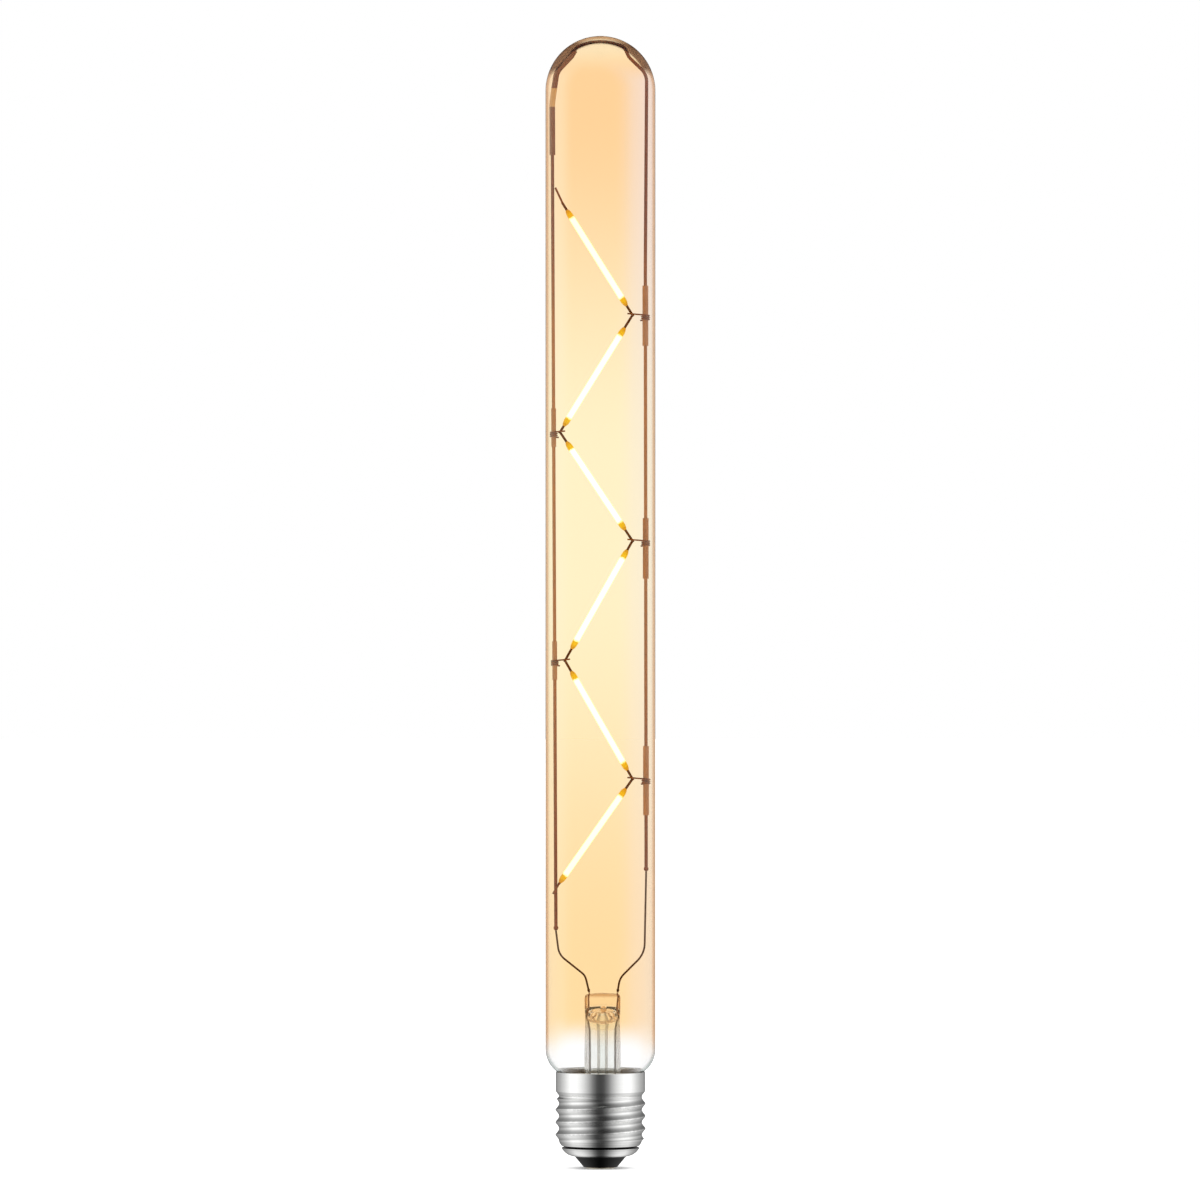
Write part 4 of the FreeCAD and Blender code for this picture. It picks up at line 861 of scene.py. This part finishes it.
class LAMP_OT_stem(bpy.types.Operator):
    """Press the stem, and finish its exhaust tube and the wires sealed in its pinch"""

    bl_idname = "lamp.stem"
    bl_label = "Stem"

    def execute(self, context):
        settings = context.scene.lamp_glass
        mesh = skin("pinched_stem", stem_rings(settings), [stem_glass(settings)])
        keep_piece(new_piece("pinched_stem", mesh), "stem_glass", "stem_glass")
        wear(exhaust_glass(settings), "exhaust_tube")
        wear(metal("Copper clad wire", context.scene.lamp_wires.copper, (0.4, 0.17, 0.07), 0.35,
                   edge=0.3, bare=0.5), *[f"{side}_seal_wire" for side in SIDES])
        return {"FINISHED"}


class LAMP_OT_wire_frame(bpy.types.Operator):
    """Finish the rails, lead wires, sleeves and tie wires"""

    bl_idname = "lamp.wire_frame"
    bl_label = "Wire Frame"

    def execute(self, context):
        settings = context.scene.lamp_wires
        wear(rail_metal(settings), "left_rail", "right_rail", "sleeve_three")
        wear(metal("Drawn wire", settings.wire, (0.13, 0.05, 0.02), 0.38, edge=0.15, bare=0.3),
             *[f"{side}_{part}_lead" for side in SIDES for part in ("inner", "outer")])
        wear(metal("Fine tie wire", settings.tie, (0.10, 0.035, 0.012), 0.45, edge=0.1, bare=0.2),
             "top_link_wire", "bottom_link_wire",
             *[f"tie_wire_{word}" for word in NUMBER_WORDS[:5]])
        wear(sleeve_glass("Sleeve glass", settings, False),
             "sleeve_one", "sleeve_two", "sleeve_four", "sleeve_five")
        wear(sleeve_glass("Top sleeve glass", settings, True), "top_sleeve")
        return {"FINISHED"}


def ends_of(node):
    """Middle of each end of a long solid, the lower one first."""
    mesh = NODES[node].data
    points = numpy.empty(len(mesh.vertices) * 3)
    mesh.vertices.foreach_get("co", points)
    points = points.reshape(-1, 3)
    middle = (points.min(axis=0) + points.max(axis=0)) / 2
    _, _, axes = numpy.linalg.svd(points - middle, full_matrices=False)
    along = axes[0] if axes[0][2] > 0 else -axes[0]
    places = (points - middle) @ along
    return Vector(middle + along * places.min()), Vector(middle + along * places.max())


def stored(tree, geometry, name, value):
    """Geometry that keeps a value at each point under a name."""
    return add(tree, "GeometryNodeStoreNamedAttribute", {
        "Geometry": geometry, "Name": name, "Value": value}, data_type="FLOAT",
        domain="POINT").outputs[0]


def end_tree(tree, end, geometry, finish):
    """End a geometry tree: smooth faces, made real, in a finish."""
    for kind in ("SetShadeSmooth", "RealizeInstances", "SetMaterial"):
        node = add(tree, "GeometryNode" + kind, {"Geometry": geometry})
        geometry = node.outputs[0]
    give(tree, node, {"Material": finish})
    give(tree, end, {0: geometry})
    return tree


def dipped_coat_tree(settings):
    """Geometry nodes that dip a straight path in a round coat with drawn-in ends."""
    tree, given, end = node_group("Dipped coat", "GeometryNodeTree", {
        "Path": "NodeSocketGeometry", "Radius": settings.coat_radius,
        "End radius": settings.end_radius, "Nose length": settings.nose_length,
        "Steps along": 161, "Steps round": 28, "Finish": "NodeSocketMaterial"},
        {"Coat": "NodeSocketGeometry"})
    nose_power, lump_scale, least_lump = 2.3, 420.0, 0.94
    path = add(tree, "GeometryNodeResampleCurve", {
        "Curve": given["Path"], "Count": given["Steps along"]}, mode="COUNT")
    gone = add(tree, "GeometryNodeSplineParameter").outputs["Length"]
    length = add(tree, "GeometryNodeSplineLength").outputs["Length"]
    tip = maths(tree, "MINIMUM", gone, maths(tree, "SUBTRACT", length, gone))
    share = maths(tree, "MINIMUM", maths(tree, "DIVIDE", tip, given["Nose length"]), 1.0)
    back = maths(tree, "SUBTRACT", 1.0, share)
    bow = maths(tree, "SUBTRACT", 1.0, maths(tree, "POWER", back, nose_power))
    radius = spread(tree, bow, 0.0, 1.0, given["End radius"], given["Radius"], smooth=False)
    lumps = add(tree, "ShaderNodeTexNoise", {"Scale": lump_scale, "Detail": 1.0}).outputs[0]
    lumpy = spread(tree, lumps, 0.2, 0.8, least_lump, 1.0, smooth=False)
    ring = add(tree, "GeometryNodeCurvePrimitiveCircle", {
        "Resolution": given["Steps round"], "Radius": 1.0}, mode="RADIUS")
    sweep = add(tree, "GeometryNodeCurveToMesh", {
        "Curve": stored(tree, path.outputs[0], "tip_distance", tip),
        "Profile Curve": ring.outputs[0], "Scale": maths(tree, "MULTIPLY", radius, lumpy),
        "Fill Caps": True})
    normal = add(tree, "GeometryNodeInputNormal").outputs[0]
    facing = maths(tree, "ABSOLUTE", axes_of(tree, normal)[1])
    coat = stored(tree, sweep.outputs[0], "flank", maths(tree, "SUBTRACT", 1.0, facing))
    return end_tree(tree, end, coat, given["Finish"])


def socket_id(tree, label):
    """Identifier of a tree's input."""
    for item in tree.interface.items_tree:
        if item.in_out == "INPUT" and item.name == label:
            return item.identifier
    raise ValueError(f"{tree.name} has no input {label}")


def grown(name, points, tree, finish):
    """A piece with the mesh that a geometry node tree makes of a line through points."""
    curve = bpy.data.curves.new(name, "CURVE")
    curve.dimensions = "3D"
    spline = curve.splines.new("POLY")
    spline.points.add(len(points) - 1)
    for target, point in zip(spline.points, points):
        target.co = (*point, 1.0)
    line = new_piece(name + "_line", curve)
    modifier = line.modifiers.new(tree.name, "NODES")
    modifier.node_group = tree
    modifier[socket_id(tree, "Finish")] = finish
    mesh = finished_mesh(line)
    mesh.name = name
    line.modifiers.remove(modifier)
    bpy.data.objects.remove(line)
    return new_piece(name, mesh)


class LAMP_OT_filaments(bpy.types.Operator):
    """Dip the six filaments and light them"""

    bl_idname = "lamp.filaments"
    bl_label = "Filaments"

    def execute(self, context):
        settings = context.scene.lamp_filaments
        tree = dipped_coat_tree(settings)
        lit = lit_coat(settings)
        strip = moulding("Ceramic strip", (0.85, 0.83, 0.76), (0.6, 0.55, 0.4), 0.5)
        tab = metal("Terminal strip", (0.16, 0.05, 0.01), (0.22, 0.08, 0.02), 0.4, edge=0.15,
                    bare=0.3)
        for word in NUMBER_WORDS:
            node = f"filament_{word}_coat"
            coat = grown(f"filament_{word}_lit_coat", ends_of(node), tree, lit)
            coat.visible_glossy = False
            keep_piece(coat, "filament_coat", node)
            wear(strip, f"filament_{word}_strip")
            wear(tab, f"filament_{word}_lower_terminal", f"filament_{word}_upper_terminal")
        return {"FINISHED"}


def rolled_shell_tree(settings):
    """Geometry nodes that turn an outline round the axis and raise a screw thread on it."""
    tree, given, end = node_group("Rolled screw shell", "GeometryNodeTree", {
        "Outline": "NodeSocketGeometry", "Pitch": settings.pitch,
        "Depth": THREAD_CREST - settings.root_radius, "Thread foot": settings.thread_foot,
        "Thread top": settings.thread_top, "Steps round": 192, "Steps up": 300,
        "Finish": "NodeSocketMaterial"}, {"Shell": "NodeSocketGeometry"})
    crest_roundness, flank_power, run_out, seam = 0.16, 1.7, 0.25 * MM, 0.001 * MM
    grid = add(tree, "GeometryNodeMeshGrid", {
        "Size X": 1.0, "Size Y": 1.0, "Vertices Y": given["Steps up"],
        "Vertices X": maths(tree, "ADD", given["Steps round"], 1.0)})
    spot = axes_of(tree, add(tree, "GeometryNodeInputPosition").outputs[0])
    turn, up = (maths(tree, "ADD", value, 0.5) for value in spot[:2])
    angle = maths(tree, "MULTIPLY", turn, 2 * math.pi)
    outline = add(tree, "GeometryNodeSampleCurve", {
        "Curves": given["Outline"], "Factor": up}, mode="FACTOR", data_type="FLOAT")
    plain, _, height = axes_of(tree, outline.outputs["Position"])

    risen = maths(tree, "SUBTRACT", height, given["Thread foot"])
    phase = maths(tree, "SUBTRACT", maths(tree, "DIVIDE", risen, given["Pitch"]), turn)
    part = maths(tree, "SUBTRACT", maths(tree, "FRACT", maths(tree, "ADD", phase, 0.5)), 0.5)
    from_crest = maths(tree, "MULTIPLY", part, 2.0)
    rounded = maths(tree, "SQRT", maths(tree, "MULTIPLY_ADD", from_crest, from_crest,
                                        crest_roundness ** 2))
    slope = maths(tree, "DIVIDE", maths(tree, "SUBTRACT", rounded, crest_roundness),
                  math.hypot(1.0, crest_roundness) - crest_roundness)
    ridge = maths(tree, "MULTIPLY", given["Depth"], maths(
        tree, "POWER", maths(tree, "SUBTRACT", 1.0, slope), flank_power))
    below_top = maths(tree, "SUBTRACT", given["Thread top"], height)
    room = maths(tree, "MAXIMUM", maths(tree, "MINIMUM", risen, below_top), 0.0)
    ridge = maths(tree, "MAXIMUM", maths(tree, "SMOOTH_MIN", ridge, room, run_out), 0.0)
    radius = maths(tree, "ADD", plain, ridge)

    place = add(tree, "ShaderNodeCombineXYZ", {
        0: maths(tree, "MULTIPLY", radius, maths(tree, "COSINE", angle)),
        1: maths(tree, "MULTIPLY", radius, maths(tree, "SINE", angle)), 2: height})
    turned = add(tree, "GeometryNodeSetPosition", {
        "Geometry": grid.outputs["Mesh"], "Position": place.outputs[0]})
    closed = add(tree, "GeometryNodeMergeByDistance", {
        "Geometry": turned.outputs[0], "Distance": seam})
    return end_tree(tree, end, closed.outputs[0], given["Finish"])


def shell_outline(settings):
    """Outer (radius, height) line of the shell, from its mouth up to its rim."""
    root, heel, mouth = settings.root_radius, settings.heel_radius, settings.mouth_radius
    collar, foot = settings.collar_radius, settings.collar_foot
    start, rise = settings.thread_foot, settings.thread_top - settings.thread_foot
    groove, depth, rolled, runs = settings.groove_height, settings.groove_depth, 0.24 * MM, 40
    rounded_foot = ((0.0, 0.0), (0.9, 0.12), (1.9, 0.5), (2.8, 1.15), (3.4, 1.85))
    groove_shares = ((0.0, -1.4), (0.35, -1.0), (1.0, -0.5), (1.0, 0.5), (0.35, 1.0), (0.0, 1.4))
    return [*[(mouth + out * MM, SHELL_FOOT + up * MM) for out, up in rounded_foot],
            *[(heel - depth * inward, groove + rolled * up) for inward, up in groove_shares],
            (root - 0.2 * MM, start - 0.6 * MM),
            *[(root, start + rise * number / runs) for number in range(runs + 1)],
            (root + 0.06 * MM, foot - 1.1 * MM), (root + 0.35 * MM, foot - 0.75 * MM),
            (collar - 0.22 * MM, foot - 0.25 * MM), (collar - 0.04 * MM, foot - 0.02 * MM),
            (collar, foot + 0.25 * MM), (collar, SHELL_RIM - 0.3 * MM),
            (collar - 0.03 * MM, SHELL_RIM - 0.06 * MM), (collar - 0.12 * MM, SHELL_RIM)]


def thicken(piece, wall):
    """Give an open skin a wall on its inner side."""
    modifier = piece.modifiers.new("Wall", "SOLIDIFY")
    modifier.thickness = wall
    modifier.offset = -1.0
    skin_alone, walled = piece.data, finished_mesh(piece)
    piece.modifiers.remove(modifier)
    piece.data = walled
    bpy.data.meshes.remove(skin_alone)


class LAMP_OT_screw_cap(bpy.types.Operator):
    """Roll the screw shell and finish the insulator, contact and cement"""

    bl_idname = "lamp.screw_cap"
    bl_label = "Screw Cap"

    def execute(self, context):
        settings = context.scene.lamp_cap
        outline = [(radius, 0.0, height) for radius, height in shell_outline(settings)]
        shell = grown("rolled_screw_shell", outline, rolled_shell_tree(settings),
                      shell_metal(settings))
        thicken(shell, settings.sheet)
        keep_piece(shell, "cap_metal", "screw_shell")
        wear(moulding("Black moulded insulator", settings.insulator, (0.02, 0.02, 0.02), 0.25,
                      dust_amount=0.12, grain=1500.0, gloss=0.12), "cap_insulator")
        wear(metal("Pressed contact", (0.72, 0.62, 0.42), (0.4, 0.3, 0.2), 0.28),
             "centre_contact")
        wear(moulding("Basing cement", (0.08, 0.05, 0.022), (0.15, 0.105, 0.055), 0.8,
                      dust_amount=0.5, grain=1800.0, relief=0.06 * MM), "cement_ring")
        return {"FINISHED"}


class LAMP_OT_driver(bpy.types.Operator):
    """Finish the board and its components inside the cap"""

    bl_idname = "lamp.driver"
    bl_label = "Driver"

    def execute(self, context):
        wear(moulding("Board laminate", (0.02, 0.16, 0.06), (0.05, 0.25, 0.12), 0.35,
                      dust_amount=0.4, grain=900.0), "driver_board")
        wear(moulding("Component moulding", (0.03, 0.03, 0.032), (0.2, 0.2, 0.2), 0.45,
                      dust_amount=0.2), "bridge_rectifier", "driver_chip")
        wear(moulding("Capacitor sleeve", (0.02, 0.03, 0.09), (0.1, 0.1, 0.16), 0.3),
             "smoothing_capacitor")
        wear(moulding("Resistor lacquer", (0.28, 0.42, 0.3), (0.5, 0.5, 0.4), 0.35,
                      dust_amount=0.2), "fuse_resistor")
        wear(metal("Tinned wire", (0.62, 0.6, 0.56), (0.4, 0.38, 0.34), 0.3),
             "live_wire", "neutral_wire")
        return {"FINISHED"}


# Stage

def seen_directly(tree):
    """1 for rays from the camera, off a mirror or through glass."""
    seen = maths(tree, "MAXIMUM", light_path(tree, "Is Camera Ray"),
                 light_path(tree, "Is Glossy Ray"))
    return maths(tree, "MAXIMUM", seen, light_path(tree, "Is Transmission Ray"))


def mirrored(tree):
    """1 for rays off an outer face, 0 for those that have gone through glass."""
    return maths(tree, "SUBTRACT", light_path(tree, "Is Glossy Ray"),
                 light_path(tree, "Is Transmission Ray"))


def grey_ramp(tree, value, shades):
    """The colour output of a Color Ramp with these (place, grey) stops."""
    return ramp(tree, value, [(place, (shade, shade, shade)) for place, shade in shades])


def studio_world(settings):
    """White all round, with soft boxes and dark flags for what metal and glass mirror."""
    world = bpy.data.worlds.new("Studio")
    world.use_nodes = True
    tree = world.node_tree
    tree.nodes.clear()
    x, y, z = axes_of(tree, add(tree, "ShaderNodeTexCoord").outputs["Generated"])
    away = maths(tree, "SUBTRACT", 1.0, y)
    turn = maths(tree, "ABSOLUTE", maths(tree, "ARCTAN2", x, away))
    boxes = grey_ramp(tree, maths(tree, "DIVIDE", turn, math.pi / 2), (
        (0.0, 0.05), (0.05, 0.07), (0.11, 0.19), (0.17, 0.42), (0.233, 0.66), (0.294, 0.86),
        (0.36, 1.0), (0.47, 1.0), (0.505, 0.90), (0.594, 0.64), (0.705, 0.41), (0.89, 0.21)))
    tilt = maths(tree, "DIVIDE", z, maths(tree, "SQRT", maths(tree, "MULTIPLY", away, 2.0)))
    flags = grey_ramp(tree, maths(tree, "MULTIPLY_ADD", tilt, 0.5, 0.5), (
        (0.0, 0.35), (0.1, 0.85), (0.25, 0.58), (0.36, 0.85), (0.43, 1.0), (0.57, 1.0),
        (0.65, 0.85), (0.75, 0.50), (0.81, 0.36), (0.9, 0.10), (1.0, 0.05)))
    off = mirrored(tree)
    through = maths(tree, "MULTIPLY_ADD", light_path(tree, "Is Transmission Ray"),
                    settings.backdrop - 1.0, 1.0)
    strength = add(tree, "ShaderNodeMix", {0: off, 2: through, 3: settings.box_strength},
                   data_type="FLOAT")
    background = add(tree, "ShaderNodeBackground", {
        "Color": blend(tree, off, WHITE, times(tree, boxes, flags)),
        "Strength": strength.outputs[0]})
    add(tree, "ShaderNodeOutputWorld", {0: background.outputs[0]})
    bpy.context.scene.world = world


def white_floor(settings):
    """Pale matt floor that shows white and keeps the lamp's shadow under its foot; further out a
    painted glow whitens it.
    """
    material, tree, shader = new_material("Pale floor")
    grey = settings.floor_grey
    give(tree, shader, {"Base Color": (grey, grey, grey), "Roughness": 1.0,
                        "Specular IOR Level": 0.0})
    from_axis = length_of(tree, object_coordinates(tree))
    # Painted light: for camera rays the floor glows brighter from 4.5 mm to 12 mm off the axis,
    # which whitens away the lamp's shadow beyond its foot.
    lift = maths(tree, "MULTIPLY", spread(tree, from_axis, 4.5 * MM, 12.0 * MM, 0.0, 0.35),
                 light_path(tree, "Is Camera Ray"))
    lift = maths(tree, "ADD", lift, settings.backdrop - grey)
    glow = add(tree, "ShaderNodeEmission", {
        "Color": WHITE, "Strength": maths(tree, "MULTIPLY", seen_directly(tree), lift)})
    matt = add(tree, "ShaderNodeAddShader", {0: shader.outputs[0], 1: glow.outputs[0]})
    show_mix(tree, mirrored(tree), matt, add(tree, "ShaderNodeBsdfTransparent"))
    mesh = bpy.data.meshes.new("floor")
    build = bmesh.new()
    bmesh.ops.create_circle(build, cap_ends=True, radius=settings.floor_radius, segments=96)
    build.to_mesh(mesh)
    build.free()
    mesh.materials.append(material)
    new_piece("floor", mesh)


def level_camera(settings):
    """Level camera straight in front of the lamp, framed on its whole length."""
    data = bpy.data.cameras.new("Camera")
    data.sensor_width = 36.0
    data.sensor_fit = "HORIZONTAL"
    data.lens = data.sensor_width * settings.camera_distance / settings.view_height
    data.clip_end = 50.0
    camera = new_piece("Camera", data)
    camera.location = (settings.camera_offset, -settings.camera_distance, settings.camera_height)
    camera.rotation_euler = (math.radians(90), 0.0, 0.0)
    bpy.context.scene.camera = camera


class LAMP_OT_stage(bpy.types.Operator):
    """Set the floor, the studio and the camera"""

    bl_idname = "lamp.stage"
    bl_label = "Stage"

    def execute(self, context):
        scene = context.scene
        white_floor(scene.lamp_stage)
        studio_world(scene.lamp_stage)
        level_camera(scene.lamp_stage)
        scene.view_settings.view_transform = "Standard"
        scene.cycles.max_bounces = 32
        scene.cycles.transmission_bounces = 28
        scene.cycles.glossy_bounces = 8
        scene.cycles.transparent_max_bounces = 24
        return {"FINISHED"}


SETTINGS = {
    "lamp_glass": LampGlassSettings,
    "lamp_wires": LampWireSettings,
    "lamp_filaments": LampFilamentSettings,
    "lamp_cap": LampCapSettings,
    "lamp_stage": LampStageSettings,
}


class LAMP_PT_panel(bpy.types.Panel):
    """Builds the lamp piece by piece"""

    bl_idname = "LAMP_PT_panel"
    bl_label = "Tubular Lamp"
    bl_space_type = "VIEW_3D"
    bl_region_type = "UI"
    bl_category = "Lamp"

    def draw(self, context):
        operators = {"lamp_glass": ("lamp.glass_tube", "lamp.stem"),
                     "lamp_wires": ("lamp.wire_frame",), "lamp_filaments": ("lamp.filaments",),
                     "lamp_cap": ("lamp.screw_cap", "lamp.driver"),
                     "lamp_stage": ("lamp.stage",)}
        for name, group in SETTINGS.items():
            box = self.layout.box()
            for setting in group.__annotations__:
                box.prop(getattr(context.scene, name), setting)
            for operator in operators[name]:
                box.operator(operator)


CLASSES = (
    *SETTINGS.values(), LAMP_OT_glass_tube, LAMP_OT_stem, LAMP_OT_wire_frame,
    LAMP_OT_filaments, LAMP_OT_screw_cap, LAMP_OT_driver, LAMP_OT_stage, LAMP_PT_panel,
)


def register():
    """Make the lamp's settings, operators and panel known."""
    for item in CLASSES:
        bpy.utils.register_class(item)
    for name, group in SETTINGS.items():
        setattr(bpy.types.Scene, name, PointerProperty(type=group))


def unregister():
    """Take the lamp's settings, operators and panel away again."""
    for name in SETTINGS:
        delattr(bpy.types.Scene, name)
    for item in reversed(CLASSES):
        bpy.utils.unregister_class(item)


def main():
    """Build the lamp and its stage."""
    register()
    bpy.ops.lamp.stage()
    bpy.ops.lamp.glass_tube()
    bpy.ops.lamp.stem()
    bpy.ops.lamp.wire_frame()
    bpy.ops.lamp.filaments()
    bpy.ops.lamp.screw_cap()
    bpy.ops.lamp.driver()


if __name__ == "__main__":
    main()
